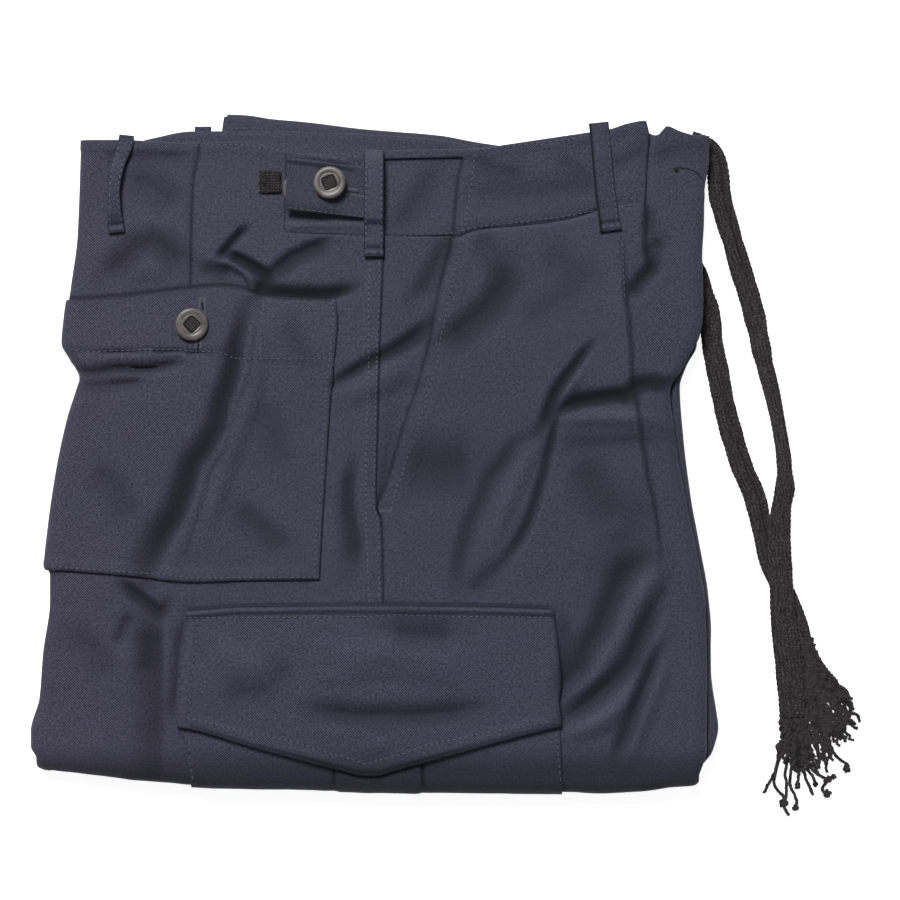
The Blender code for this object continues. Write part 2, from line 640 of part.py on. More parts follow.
def strip(name, path):
    """A sewn strip that follows a path over the cloth and lies a stated height above it."""
    x, y, lift, width = (np.array(c, float) for c in zip(*path))
    heading = np.column_stack([np.gradient(x), np.gradient(y)])
    heading /= np.linalg.norm(heading, axis=1)[:, None]
    across = np.column_stack([-heading[:, 1], heading[:, 0]])
    outer = np.zeros((3, len(x), 3))
    for i, share in enumerate((-0.5, 0.0, 0.5)):
        px = x - across[:, 0] * width * share
        py = y - across[:, 1] * width * share
        ground = top_height(x, np.minimum(y, curve(ROWS["waist"], x))) + BAND_LIFT
        outer[i] = np.column_stack([px, py, ground + lift + LOOP_THICK + (LOOP_CROWN if i == 1 else 0.0)])
    if outer[0, 0, 0] > outer[2, 0, 0]:
        outer = outer[::-1]
    inner = outer - np.array([0, 0, LOOP_THICK])
    return wall(name, outer, inner, np.ones((2, len(x) - 1), bool), sides=0.0)


# Adjuster tab: corners, and its height over the waistband from its free end to the loop.

TAB_CORNERS = {
    "top_back": (-50.2, 168.0), "top_front": (4.0, 161.6),
    "low_front": (4.0, 132.6), "low_back": (-50.7, 138.4),
}
TAB_LIFT = [(-51, 4.7), (-34, 4.4), (-18, 2.0), (-6, 0.9), (5, 0.7)]
TAB_THICK = 1.5
TAB_LIP = 0.5


def adjuster_tab():
    """The tab lies over the hidden button at its free end and runs under the side belt loop at the other."""
    shares_x = np.linspace(0, 1, 8)[:, None]
    shares_y = np.array([0.0, 0.12, 0.5, 0.88, 1.0])[None, :]
    a, b, c, d = (np.array(TAB_CORNERS[k]) for k in ("top_back", "top_front", "low_front", "low_back"))
    flat = [(a[k] * (1 - shares_x) + b[k] * shares_x) * (1 - shares_y)
            + (d[k] * (1 - shares_x) + c[k] * shares_x) * shares_y for k in (0, 1)]
    x, y = flat
    z = top_height(x, y) + BAND_LIFT + curve(TAB_LIFT, x) + TAB_THICK + TAB_LIP * np.clip(shares_y - 0.5, 0, 1)
    outer = np.stack([x, y, z], axis=2)
    inner = outer - np.array([0, 0, TAB_THICK])
    return wall("adjuster_tab", outer, inner, np.ones((7, 4), bool), sides=0.0)


# Buttons: place, height of the cloth below them over the plain surface, and turn of the tape.

BUTTONS = {
    "tab": {"place": (-25.6, 153.6), "over": 5.9, "turn": 22},
    "pocket": {"place": (-104.0, 73.2), "over": 1.4, "turn": 45},
    "hidden": {"place": (-43.4, 150.5), "over": 0.5, "turn": 12},
}
BUTTON_PROFILE = [(9.0, 0.0), (9.6, 0.8), (9.6, 1.7), (8.9, 2.5), (6.6, 2.5), (5.9, 1.9), (4.6, 1.9)]
BUTTON_FACE = 1.9
BUTTON_SIDES = 16
SLOT_HALF = 3.45
SLOT_CORNER = 4.4
TAPE_HALF = 2.75
TAPE_FOOT = 0.35
TAPE_EDGE = 0.5
TAPE_CROWN = 0.72
SHANK = {"tab": 0.7, "pocket": 1.2, "hidden": 0.35}
TAPE_TOP = {"tab": 2.2, "pocket": 2.7, "hidden": 1.9}


def square_reach(angle, half):
    """How far the side of a square lies from its middle in a direction."""
    return half / max(abs(math.cos(angle)), abs(math.sin(angle)))


def button(key):
    """A slotted button with a rim, and the woven tape that holds it through its square slot."""
    spec = BUTTONS[key]
    x, y = spec["place"]
    near = 4.0
    heights = [float(top_height(np.array([x + dx]), np.array([y + dy]))[0])
               for dx, dy in ((0, 0), (near, 0), (-near, 0), (0, near), (0, -near))]
    slopes = [(heights[1] - heights[2]) / (2 * near), (heights[3] - heights[4]) / (2 * near)]
    normal = Vector((-slopes[0], -slopes[1], 1)).normalized()
    along = (Vector((1, 0, 0)) - normal * normal.x).normalized()
    across = normal.cross(along)
    base = Vector((x, y, heights[0] + spec["over"]))
    turn = math.radians(spec["turn"])

    def at(radius, angle, height):
        return base + (along * math.cos(angle) + across * math.sin(angle)) * radius + normal * height

    rings = [[at(r, 2 * math.pi * k / BUTTON_SIDES, SHANK[key] + h) for k in range(BUTTON_SIDES)]
             for r, h in BUTTON_PROFILE]
    slot = [square_reach(2 * math.pi * k / BUTTON_SIDES - turn, SLOT_HALF) for k in range(BUTTON_SIDES)]
    for height in (BUTTON_FACE, 0.0):
        rings.append([at(min(slot[k], SLOT_CORNER), 2 * math.pi * k / BUTTON_SIDES, SHANK[key] + height)
                      for k in range(BUTTON_SIDES)])
    vertices = [p for ring in rings for p in ring]
    faces = []
    for r in range(len(rings)):
        for k in range(BUTTON_SIDES):
            n, m = r * BUTTON_SIDES, ((r + 1) % len(rings)) * BUTTON_SIDES
            faces.append([n + k, n + (k + 1) % BUTTON_SIDES, m + (k + 1) % BUTTON_SIDES, m + k])
    add("button_" + key, vertices, faces, "grey button")

    top = SHANK[key] + TAPE_TOP[key]
    vertices = []
    for height, size in ((TAPE_FOOT, TAPE_HALF), (top - TAPE_EDGE, TAPE_HALF), (top, TAPE_HALF * TAPE_CROWN)):
        for cx, cy in ((1, 1), (-1, 1), (-1, -1), (1, -1)):
            u = (cx * math.cos(turn) - cy * math.sin(turn)) * size
            v = (cx * math.sin(turn) + cy * math.cos(turn)) * size
            vertices.append(base + along * u + across * v + normal * height)
    faces = [[3, 2, 1, 0], [8, 9, 10, 11]]
    for r in (0, 4):
        for k in range(4):
            faces.append([r + k, r + (k + 1) % 4, r + 4 + (k + 1) % 4, r + 4 + k])
    add("tape_" + key, vertices, faces, "woven tape")


TAPE_PATCH = {"x": (-66.0, -54.2), "y": (159.8, 148.6), "over": 1.0, "thick": 0.8}


def tape_patch():
    """The woven tape that carries the hidden button, seen beside the free end of the tab."""
    x = np.linspace(*TAPE_PATCH["x"], 4)[:, None] * np.ones((1, 4))
    y = np.linspace(*TAPE_PATCH["y"], 4)[None, :] * np.ones((4, 1))
    outer = np.stack([x, y, top_height(x, y) + TAPE_PATCH["over"] + TAPE_PATCH["thick"]], axis=2)
    inner = outer - np.array([0, 0, TAPE_PATCH["thick"]])
    wall("tape_patch", outer, inner, np.ones((3, 3), bool), "woven tape", sides=0.0)


# Drawstring: middle line as (x, y), height of its underside, and share of its full width there.

DRAWSTRING_A = [
    (186.0, 178.6, 0.5, 1.0), (191.6, 172.0, 0.35, 1.0), (195.6, 162, 0.25, 1.0), (197.2, 148, 0.25, 1.0),
    (200.2, 136, 0.25, 1.0), (205, 120, 0.25, 0.95), (209.6, 104, 0.25, 1.0), (214.6, 88, 0.25, 1.0),
    (218, 74, 0.25, 0.95), (222, 54, 0.25, 0.86), (227, 34, 0.3, 0.78), (231, 14, 0.7, 0.72),
    (233.6, -4, 1.8, 0.72), (234.2, -18, 3.1, 0.86), (231.8, -34, 3.3, 0.95), (231.2, -52, 3.3, 1.0), (232.0, -70, 3.3, 1.0),
    (232.2, -90, 3.3, 1.0), (234.0, -110, 3.2, 1.0), (235.8, -128, 2.7, 1.0), (236.8, -144, 2.1, 1.0),
    (237.4, -158, 1.7, 1.0),
]
DRAWSTRING_B = [
    (183.8, 104, 0.3, 0.9), (187.6, 92, 0.25, 0.95), (191.4, 78, 0.25, 1.0), (192.8, 64, 0.25, 1.0),
    (196.0, 47, 0.25, 1.0), (199.6, 28, 0.25, 1.0), (204.6, 9, 0.25, 1.0), (210.0, -8, 0.25, 1.0),
    (216.8, -24, 0.25, 1.0), (221.2, -42, 0.25, 0.95), (225.2, -60, 0.25, 0.95), (230.8, -73, 0.25, 0.95),
    (236.6, -85, 0.25, 0.95), (241.0, -97, 0.25, 1.0), (244.6, -110, 0.25, 1.0),
]


def smooth_route(route, count):
    """Evenly numbered points on one smooth curve through the route's own points."""
    place = np.arange(len(route), dtype=float)
    at = np.linspace(0, len(route) - 1, count)
    return np.column_stack([curve(list(zip(place, [p[k] for p in route])), at) for k in range(len(route[0]))])


def braid(name, route, count):
    """A flat braid: a curve with a bevelled extrusion, turned to lie flat."""
    data = bpy.data.curves.new(name, "CURVE")
    data.dimensions = "3D"
    data.twist_mode = "Z_UP"
    data.extrude = (BRAID_WIDTH - BRAID_THICK) / 2 * MM
    data.bevel_depth = BRAID_THICK / 2 * MM
    data.bevel_resolution = 2
    data.use_fill_caps = True
    spline = data.splines.new("POLY")
    points = smooth_route(route, count)
    spline.points.add(count - 1)
    for k, (x, y, under, width) in enumerate(points):
        spline.points[k].co = (x * MM, y * MM, (under + BRAID_THICK / 2) * MM, 1.0)
        spline.points[k].radius = width
        spline.points[k].tilt = math.radians(90)
    piece = bpy.data.objects.new(name, data)
    bpy.context.scene.collection.objects.link(piece)
    colour, roughness = FINISHES["black braid"]
    data.materials.append(material("black braid", colour, roughness))
    return piece


# Frayed ends: where the braid ends and which way it points, the spread of the yarns to each side, their
# lengths across the end, and the heights of the braid's underside there and of the yarns' tips.

FRINGES = {
    "fringe_a": {"end": (237.4, -158.0), "heading": (0.04, -0.999), "spread": (-19, 25), "under": 1.7,
                 "floor": 1.15, "long": [(0, 36), (0.2, 41), (0.45, 35), (0.7, 40), (1, 37)]},
    "fringe_b": {"end": (244.6, -110.0), "heading": (0.27, -0.963), "spread": (-24, 13), "under": 0.25,
                 "floor": 0.25, "long": [(0, 50), (0.3, 47), (0.6, 52), (0.85, 44), (1, 36)]},
}
YARNS = 9
YARN_LAYERS = 2
YARN_HALF = 0.24
YARN_THINNING = 0.06
YARN_WAVE = 0.7
LOWER_YARN = 0.86
BACKING = 3.0
YARN_STATIONS = [0.15, 0.38, 0.6, 0.8, 1.0]


def fringe(name):
    """Yarns drawn out of the end face of a narrow backing, each from its own small square of that face."""
    spec = FRINGES[name]
    heading = Vector((*spec["heading"], 0)).normalized()
    across = Vector((-heading.y, heading.x, 0))
    start = Vector((*spec["end"], spec["under"])) + heading * SEAM_GAP
    wide = 2 * YARNS + 1
    high = 2 * YARN_LAYERS + 1
    half = BRAID_WIDTH / 2
    us = [-half + BRAID_WIDTH * k / wide for k in range(wide + 1)]
    vs = [BRAID_THICK * k / high for k in range(high + 1)]

    vertices = []
    number = {}

    def point(u, v, w):
        key = (round(u, 5), round(v, 5), round(w, 5))
        if key not in number:
            number[key] = len(vertices)
            vertices.append(start + across * u + Vector((0, 0, v)) + heading * w)
        return number[key]

    faces = []
    roots = []
    for i in range(wide):
        for j in range(high):
            square = [(us[i], vs[j]), (us[i + 1], vs[j]), (us[i + 1], vs[j + 1]), (us[i], vs[j + 1])]
            faces.append([point(u, v, 0.0) for u, v in reversed(square)])
            end = [point(u, v, BACKING) for u, v in square]
            if i % 2 and j % 2:
                roots.append((i // 2, j // 2, end))
            else:
                faces.append(end)
    for i in range(wide):
        for (ua, ub), v in (((us[i], us[i + 1]), 0), ((us[i + 1], us[i]), vs[-1])):
            faces.append([point(ua, v, 0), point(ub, v, 0), point(ub, v, BACKING), point(ua, v, BACKING)])
    for j in range(high):
        for u, (va, vb) in ((us[0], (vs[j + 1], vs[j])), (us[-1], (vs[j], vs[j + 1]))):
            faces.append([point(u, va, 0), point(u, vb, 0), point(u, vb, BACKING), point(u, va, BACKING)])

    least, most = spec["spread"]
    for yarn, layer, root in roots:
        share = (yarn + 0.5 * layer + 0.25) / YARNS
        angle = math.radians(least + (most - least) * share)
        length = float(curve(spec["long"], share)) * (1.0 if layer else LOWER_YARN)
        middle = sum((vertices[k] for k in root), Vector()) / 4
        away = heading * math.cos(angle) + across * math.sin(angle)
        sideways = Vector((-away.y, away.x, 0))
        size = YARN_HALF
        ring = root
        for station in YARN_STATIONS:
            wave = YARN_WAVE * math.sin(station * 7 + yarn * 0.35) * station
            aim = heading * (1 - station) + away * station
            centre = middle + aim * (length * station) + sideways * wave
            floor = spec["floor"] + size
            centre.z = floor + (middle.z - floor) * (1 - station) ** 1.5
            up = Vector((0, 0, size))
            fresh = list(range(len(vertices), len(vertices) + 4))
            vertices += [centre - sideways * size - up, centre + sideways * size - up,
                         centre + sideways * size + up, centre - sideways * size + up]
            for k in range(4):
                faces.append([ring[k], ring[(k + 1) % 4], fresh[(k + 1) % 4], fresh[k]])
            ring = fresh
            size = YARN_HALF - YARN_THINNING * station
        faces.append(ring)
    return add(name, vertices, faces, "black braid")


for old in list(bpy.data.objects):
    bpy.data.objects.remove(old)

POINTS, OUT = master_grid()
folded_legs()
waistband_right()
belt_loop_right()
upper_cloth()
pockets()
for loop_name, loop_path in LOOPS.items():
    strip(loop_name, loop_path)
adjuster_tab()
for button_key in BUTTONS:
    button(button_key)
tape_patch()
braid("drawstring_a", DRAWSTRING_A, 21)
braid("drawstring_b", DRAWSTRING_B, 15)
for fringe_name in FRINGES:
    fringe(fringe_name)
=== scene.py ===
# %% [markdown]
# # Cargo trousers, folded flat, with their drawstring beside them
#
# A CAD program has already settled the size and place of every piece of these trousers. This notebook
# dresses that model: it makes each piece again as thin cloth with its folds, seams and stitches, gives it a
# finish, and sets up the camera and the light of a plain product photograph.
#
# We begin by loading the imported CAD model. Everything is in metres there, with +Z up and the floor at zero,
# so a piece built with the same numbers lands in the same place. The tables below are in millimetres, because
# a tailor thinks in millimetres too.

import math

import bpy
import numpy as np
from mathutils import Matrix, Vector, noise
from mathutils.bvhtree import BVHTree


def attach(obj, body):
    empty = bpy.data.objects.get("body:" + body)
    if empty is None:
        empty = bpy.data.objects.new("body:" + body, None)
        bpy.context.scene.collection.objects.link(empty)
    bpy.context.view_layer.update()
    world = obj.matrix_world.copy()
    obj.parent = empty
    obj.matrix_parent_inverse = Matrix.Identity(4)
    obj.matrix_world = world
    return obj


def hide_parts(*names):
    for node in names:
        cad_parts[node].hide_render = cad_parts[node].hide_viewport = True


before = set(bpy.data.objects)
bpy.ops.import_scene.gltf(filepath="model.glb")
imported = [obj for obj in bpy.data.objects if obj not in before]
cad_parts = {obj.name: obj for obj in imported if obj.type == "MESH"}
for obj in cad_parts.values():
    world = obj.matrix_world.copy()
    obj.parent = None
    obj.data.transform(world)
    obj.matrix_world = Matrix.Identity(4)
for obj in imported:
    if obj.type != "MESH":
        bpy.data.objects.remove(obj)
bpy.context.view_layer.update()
MM = 0.001

# %% [markdown]
# ## The camera
#
# The photograph was taken from straight above with a long lens, which shows hardly any perspective. We could
# use an orthographic camera, but a real lens gives the small lean of raised parts that the photograph has, so
# a 175 mm lens hangs two and a half metres above the floor instead.

# %% Camera
MIDDLE = (42.75, 2.0)
ABOVE = 2500.0


def stand(name, data):
    """A new object of the scene that holds the data."""
    made = bpy.data.objects.new(name, data)
    bpy.context.scene.collection.objects.link(made)
    return made


optics = bpy.data.cameras.new("photo_camera")
optics.lens, optics.sensor_width = 174.6, 36.0
camera = stand("photo_camera", optics)
camera.location = (MIDDLE[0] * MM, MIDDLE[1] * MM, ABOVE * MM)
bpy.context.scene.camera = camera
print("camera", ABOVE, "mm above the floor")

# %% [markdown]
# ## A small language for nodes
#
# Finishes and repeated shapes are both made with nodes. Writing node trees by hand soon becomes unreadable, so
# one small class holds a tree, and another wraps a socket and overloads the usual operators: then mask - 1 adds
# a Math node by itself. Everything else comes from one method, node(), which takes the type of a node, what
# goes into its sockets and its settings.

# %% Nodes as Python expressions
class Value:
    """A number that flows through a node tree, for use in plain expressions."""

    def __init__(self, graph, socket):
        self.graph, self.socket = graph, socket

    def maths(self, operation, other=0.0):
        return self.graph.node("ShaderNodeMath", {0: self, 1: other}, operation=operation)

    def __add__(self, other):
        return self.maths("ADD", other)

    def __sub__(self, other):
        return self.maths("SUBTRACT", other)

    def __mul__(self, other):
        return self.maths("MULTIPLY", other)

    def wave(self, period):
        """A sine that repeats after a period in metres."""
        return (self * (2 * math.pi / period)).maths("SINE")


class Graph:
    """A node tree under construction."""

    def __init__(self, tree):
        self.tree = tree

    def join(self, value, socket):
        if isinstance(value, Value):
            self.tree.links.new(value.socket, socket)
        else:
            socket.default_value = value

    def node(self, kind, sockets=(), output=0, **settings):
        made = self.tree.nodes.new(kind)
        for name, value in settings.items():
            setattr(made, name, value)
        for name, value in dict(sockets).items():
            self.join(value, made.inputs[name])
        return Value(self, made.outputs[output])


class Finish(Graph):
    """A material whose Principled shader gets its constants at once and what varies later."""

    def __init__(self, name, constants):
        self.material = bpy.data.materials.new(name)
        self.material.use_nodes = True
        super().__init__(self.material.node_tree)
        self.shader = self.tree.nodes["Principled BSDF"]
        for socket, value in constants.items():
            self.shader.inputs[socket].default_value = value

    def mix(self, share, first, second):
        """A blend of two colours."""
        return self.node("ShaderNodeMix", {0: share, 6: first, 7: second}, output=2, data_type="RGBA")

    def place(self):
        """The UV map called cloth and its two coordinates, in metres over the cloth."""
        uv = self.node("ShaderNodeUVMap", uv_map="cloth")
        both = self.tree.nodes.new("ShaderNodeSeparateXYZ")
        self.join(uv, both.inputs[0])
        return uv, Value(self, both.outputs[0]), Value(self, both.outputs[1])

    def room(self):
        """Object coordinates, which are metres in the shared frame."""
        return self.node("ShaderNodeTexCoord", output=3)

    def cloud(self, vector, scale, detail=2.0):
        """Soft noise between 0 and 1."""
        return self.node("ShaderNodeTexNoise", {"Vector": vector, "Scale": scale, "Detail": detail})

    def relief(self, height, distance, strength=1.0):
        """Bump on the Normal socket: height is between 0 and 1, distance is its depth in metres."""
        bump = self.node("ShaderNodeBump", {"Height": height, "Distance": distance, "Strength": strength})
        self.join(bump, self.shader.inputs["Normal"])

    def paint(self, colour, deep=None):
        """The base colour, which turns to a deep one as painted shade where the mesh's attribute hollow is high."""
        hollow = None
        if deep:
            hollow = self.node("ShaderNodeAttribute", output=2, attribute_name="hollow")
            colour = self.mix(hollow, colour, deep)
        self.join(colour, self.shader.inputs["Base Color"])
        return hollow


print("node helpers ready")

# %% [markdown]
# ## The black braid
#
# The drawstring is a flat braid of matt black cotton. Its yarns run in two slanting sets that meet in small
# arrowheads. Modelling every yarn would cost millions of faces, so the arrowheads are a bump: one sine runs
# along the braid, and its phase shifts with the distance from the middle, which bends the lines into chevrons.
# Worn cotton is fuzzy, though, and two noises break the pattern up again.

# %% Braid finish
YARN_PERIOD = 0.0021


def black_braid():
    finish = Finish("black_braid", {"Roughness": 0.88, "Specular IOR Level": 0.25, "Sheen Weight": 0.12,
                                    "Sheen Roughness": 0.6})
    uv, across, along = finish.place()
    wander = finish.cloud(uv, 300.0, 3.0) - 0.5
    rib = (across.maths("ABSOLUTE") * 0.9 + along + wander * 0.009).wave(YARN_PERIOD) * 0.5 + 0.5
    lanes = (across + wander * 0.0045).wave(YARN_PERIOD) * 0.5 + 0.5
    room = finish.room()
    drawn_out = finish.node("ShaderNodeCombineXYZ", {"X": across, "Y": along * 0.12})
    height = (rib * lanes * 0.3 + finish.cloud(room, 900.0, 4.0) * 0.55 + finish.cloud(room, 2600.0, 3.0) * 0.35
              + finish.cloud(drawn_out, 900.0, 3.0) * 0.4)
    finish.relief(height, 0.0006)
    colour = finish.mix((height - 0.6) * 2.2, (0.005, 0.0045, 0.005, 1), (0.092, 0.080, 0.083, 1))
    # Painted shade: where the attribute hollow of a braid or a yarn is high, its black turns deeper still.
    finish.paint(colour, (0.002, 0.0018, 0.002, 1))
    return finish.material


BRAID = black_braid()
print("finish", BRAID.name)

# %% [markdown]
# ## Smooth lines through few points
#
# Every line of the pattern is kept as a short list of points. A plain straight join would show corners, and a
# common spline swings past its points, so that a seam would leave the cloth. This one is a monotone cubic: it
# passes through the points and never beyond them.

# %% Lines through points
def curve(points, at):
    """Value at any place of a smooth curve through (place, value) points that never swings past them."""
    place, value = np.array(sorted(points), float).T
    step = np.diff(place)
    slope = np.diff(value) / step
    product = slope[:-1] * slope[1:]
    total = np.where(product > 0, slope[:-1] + slope[1:], 1.0)
    tangent = np.concatenate(([slope[0]], np.where(product > 0, 2 * product / total, 0.0), [slope[-1]]))
    at = np.clip(at, place[0], place[-1])
    k = np.clip(np.searchsorted(place, at) - 1, 0, len(step) - 1)
    s = (at - place[k]) / step[k]
    rise = (3 - 2 * s) * s * s
    bend = tangent[k] * s * (1 - s) ** 2 - tangent[k + 1] * s * s * (1 - s)
    return value[k] + rise * (value[k + 1] - value[k]) + step[k] * bend


def soft_step(distance, width):
    """From 0 below nought to 1 beyond a width, with soft ends."""
    s = np.clip(distance / width, 0, 1)
    return s * s * (3 - 2 * s)


def smooth_route(route, count):
    """Evenly numbered points on one smooth curve through the route's own points."""
    at = np.linspace(0, len(route) - 1, count)
    return np.column_stack([curve(list(enumerate(column)), at) for column in zip(*route)])


def walked(points):
    """How far along a line each of its points lies."""
    return np.concatenate([[0], np.cumsum(np.linalg.norm(np.diff(points, axis=0), axis=1))])


def unit(rows):
    """The same directions with length one."""
    return rows / np.linalg.norm(rows, axis=1)[:, None]


print("half way between two points:", float(curve([(0, 0), (1, 1)], 0.5)))

# %% [markdown]
# ## The drawstring
#
# Each has a route: x and y of its middle line, the height of its underside, the share of its full width, and
# how far it is turned on edge. A curve object with a flat bevel could draw it, but a mesh lets us crush the
# braid where it turns and gives it a UV map that follows its length, which the chevrons need.

# %% Drawstring routes
BRAID_WIDTH = 12.6
BRAID_THICK = 2.6
DRAWSTRING_A = [
    (180.0, 178.6, 0.5, 1.0, 0), (187.4, 176.0, 0.4, 1.0, 0), (192.6, 171.4, 0.3, 1.0, 0), (195.8, 163, 0.25, 1.0, 0),
    (197.2, 148, 0.25, 1.0, 0), (200.2, 136, 0.25, 1.0, 0), (205, 120, 0.25, 0.95, 0), (209.6, 104, 0.25, 1.0, 0),
    (214.6, 88, 0.25, 1.0, 0), (218, 74, 0.25, 0.95, 8), (222, 54, 0.25, 0.86, 18), (227, 34, 0.3, 0.78, 26),
    (231, 14, 0.7, 0.72, 30), (233.6, -4, 1.8, 0.72, 24), (234.2, -18, 3.1, 0.86, 10), (231.8, -34, 3.3, 0.95, 0),
    (231.2, -52, 3.3, 1.02, 0), (232.0, -70, 3.3, 1.06, 0), (232.8, -90, 3.3, 1.14, 0), (235.0, -110, 3.2, 1.2, 0),
    (236.8, -128, 2.7, 1.2, 0), (238.0, -142, 2.1, 1.16, 0), (238.3, -151, 1.7, 1.14, 0),
]
DRAWSTRING_B = [
    (178.5, 112, 0.3, 0.8, 0), (183.8, 104, 0.3, 0.9, 0), (187.6, 92, 0.25, 0.95, 0), (191.4, 78, 0.25, 1.0, 0),
    (192.8, 64, 0.25, 1.0, 0), (196.0, 47, 0.25, 1.0, 0), (199.6, 28, 0.25, 1.0, 0), (204.6, 9, 0.25, 1.0, 0),
    (210.0, -8, 0.25, 1.0, 0), (216.8, -24, 0.25, 1.0, 0), (221.2, -42, 0.25, 0.95, 0), (225.2, -60, 0.25, 0.95, 0),
    (230.8, -73, 0.25, 0.95, 0), (236.6, -85, 0.25, 0.95, 0), (241.0, -97, 0.25, 1.0, 0), (244.6, -110, 0.25, 1.0, 0),
]

# %% Braid mesh
BRAID_STEP = 0.5
BRAID_RING = 44
BRAID_KNOB = 0.30
UNDERSIDE_UV = 100


def darken(mesh, hollow):
    """Stores the painted shade of each point, from 0 to 1, as the attribute hollow for the finishes to read."""
    mesh.attributes.new("hollow", "FLOAT", "POINT").data.foreach_set("value", np.asarray(hollow, np.float32))


def add(name, vertices, faces, finish, uv=None, smooth=True, hollow=None):
    """A new object from points in millimetres, with an optional UV map called cloth, one pair a point."""
    mesh = bpy.data.meshes.new(name)
    mesh.from_pydata([tuple(float(c) * MM for c in v) for v in vertices], [], faces)
    mesh.update()
    if uv is not None:
        corner = np.zeros(len(mesh.loops), dtype=np.int32)
        mesh.loops.foreach_get("vertex_index", corner)
        mesh.uv_layers.new(name="cloth").data.foreach_set("uv", (np.asarray(uv, float)[corner] * MM).ravel())
    if hollow is not None:
        darken(mesh, hollow)
    if smooth:
        mesh.shade_smooth()
    mesh.materials.append(finish)
    return stand(name, mesh)


def skin(rings, count, closed=True):
    """Faces between neighbouring rings of points, or between open rows of them."""
    return [[r * count + k, r * count + (k + 1) % count, (r + 1) * count + (k + 1) % count, (r + 1) * count + k]
            for r in range(rings - 1) for k in range(count if closed else count - 1)]


def settle(piece, slot, *nodes):
    """The piece rides with the frame, and the CAD nodes it stands for are hidden; slot is not used."""
    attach(piece, "root")
    if nodes:
        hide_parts(*nodes)


def knob(across, along, number):
    """Small bumps where the yarns of the braid cross, uneven as in worn cotton."""
    drift = 1.5 * noise.noise(Vector((across / 3, along / 3, number)))
    lane = math.sin(2 * math.pi * (across / 2.1 + 0.8 * drift))
    rib = math.sin(2 * math.pi * ((abs(across) * 0.9 + along) / 2.1 + 1.2 * drift))
    return BRAID_KNOB * (0.5 * lane * rib + 1.1 * noise.noise(Vector((across, along, number))))


def braid(name, route, groove):
    """A flat braid as a mesh: a rounded bar carried along the route, turned and crushed as the table says.

    groove is a lengthwise crease: where it starts and ends along the cord, its place across and its depth."""
    path = smooth_route(route, int(walked(smooth_route(route, 400)[:, :3])[-1] / BRAID_STEP))
    middle = path[:, :3] + [0, 0, BRAID_THICK / 2]
    heading = unit(np.gradient(middle, axis=0))
    flat = unit(np.column_stack([-heading[:, 1], heading[:, 0], 0 * heading[:, 0]]))
    up = np.cross(heading, flat)
    along = walked(middle)
    start, end, place, depth = groove
    number = len(name)
    turn = 2 * np.pi * np.arange(BRAID_RING) / BRAID_RING
    wide = np.sign(np.cos(turn)) * np.abs(np.cos(turn)) ** 0.55
    high = np.sign(np.sin(turn)) * np.abs(np.sin(turn)) ** 0.8
    vertices, uv, shade = [], [], []
    for k, far in enumerate(along):
        ruffle = noise.noise(Vector((far / 9, 3.1, number))) * 0.5 + noise.noise(Vector((far / 1.4, 5.1, 2.0))) * 0.22
        half = BRAID_WIDTH / 2 * path[k, 3] * (1 + 0.02 * math.sin(far * 2 * math.pi / 3.1)) + ruffle
        tilt = math.radians(path[k, 4])
        crease = noise.noise(Vector((far / 24, 7.7, number))) * 0.5
        fade = max(0.0, min(1.0, (far - start) / 15, (end - far) / 15))
        for w, h in zip(wide, high):
            sideways = w * half
            thick = h * BRAID_THICK / 2 * (0.86 + 0.14 * math.cos(w * math.pi))
            shade.append(0.0)
            if h > -0.2:
                bump = knob(sideways, far, number)
                valley = fade * math.exp(-((sideways - place) / 0.9) ** 2)
                thick += bump * min(1.0, h + 0.4) - depth * valley
                # Painted shade on the upper side: darker between the knobs, towards the edges of the bar and in the
                # groove.
                shade[-1] = 0.12 - 1.3 * bump + 0.45 * (1 - h) + valley
            lift = max(0.0, crease * (0.35 - w ** 2))
            y = sideways * math.cos(tilt) - thick * math.sin(tilt)
            z = sideways * math.sin(tilt) + thick * math.cos(tilt) + lift + half * abs(math.sin(tilt))
            vertices.append(middle[k] + flat[k] * y + up[k] * z)
            uv.append((sideways + (UNDERSIDE_UV if h < 0 else 0), far))
    first = list(range(BRAID_RING))
    faces = skin(len(along), BRAID_RING) + [first[::-1], [len(vertices) - BRAID_RING + a for a in first]]
    print(name, round(along[-1]), "mm long,", len(faces), "faces")
    return add(name, vertices, faces, BRAID, uv, hollow=np.clip(shade, 0, 1)), middle


cord_a, path_a = braid("drawstring_left", DRAWSTRING_A, (6, 95, 1.6, 1.3))
cord_b, path_b = braid("drawstring_right", DRAWSTRING_B, (66, 196, 1.4, 2.0))

# %% [markdown]
# ## Frayed ends
#
# Where the braid is cut its thick yarns come apart, keep the crimp that the braiding gave them and end in small
# knots and tufts. The close mass at the root is drawn with seeded random bends, so that every run gives the same
# one; the loose strands are rows of a table. Turning all those splines into tubes
# is a job for Geometry Nodes: one tree sweeps a small ring along them, and new_from_object then gives a plain mesh.

# %% Geometry Nodes helpers
SOCKET_KINDS = {float: "NodeSocketFloat", int: "NodeSocketInt", bpy.types.Material: "NodeSocketMaterial"}


def node_group(name, inputs):
    """A Geometry Nodes tree with a geometry input and the named inputs, and what its inputs give."""
    tree = bpy.data.node_groups.new(name, "GeometryNodeTree")
    kinds = {words: next(k for t, k in SOCKET_KINDS.items() if isinstance(value, t)) for words, value in inputs.items()}
    for words, kind in {"Geometry": "NodeSocketGeometry", **kinds}.items():
        tree.interface.new_socket(words, in_out="INPUT", socket_type=kind)
    tree.interface.new_socket("Geometry", in_out="OUTPUT", socket_type="NodeSocketGeometry")
    graph = Graph(tree)
    return graph, {socket.name: Value(graph, socket) for socket in tree.nodes.new("NodeGroupInput").outputs}


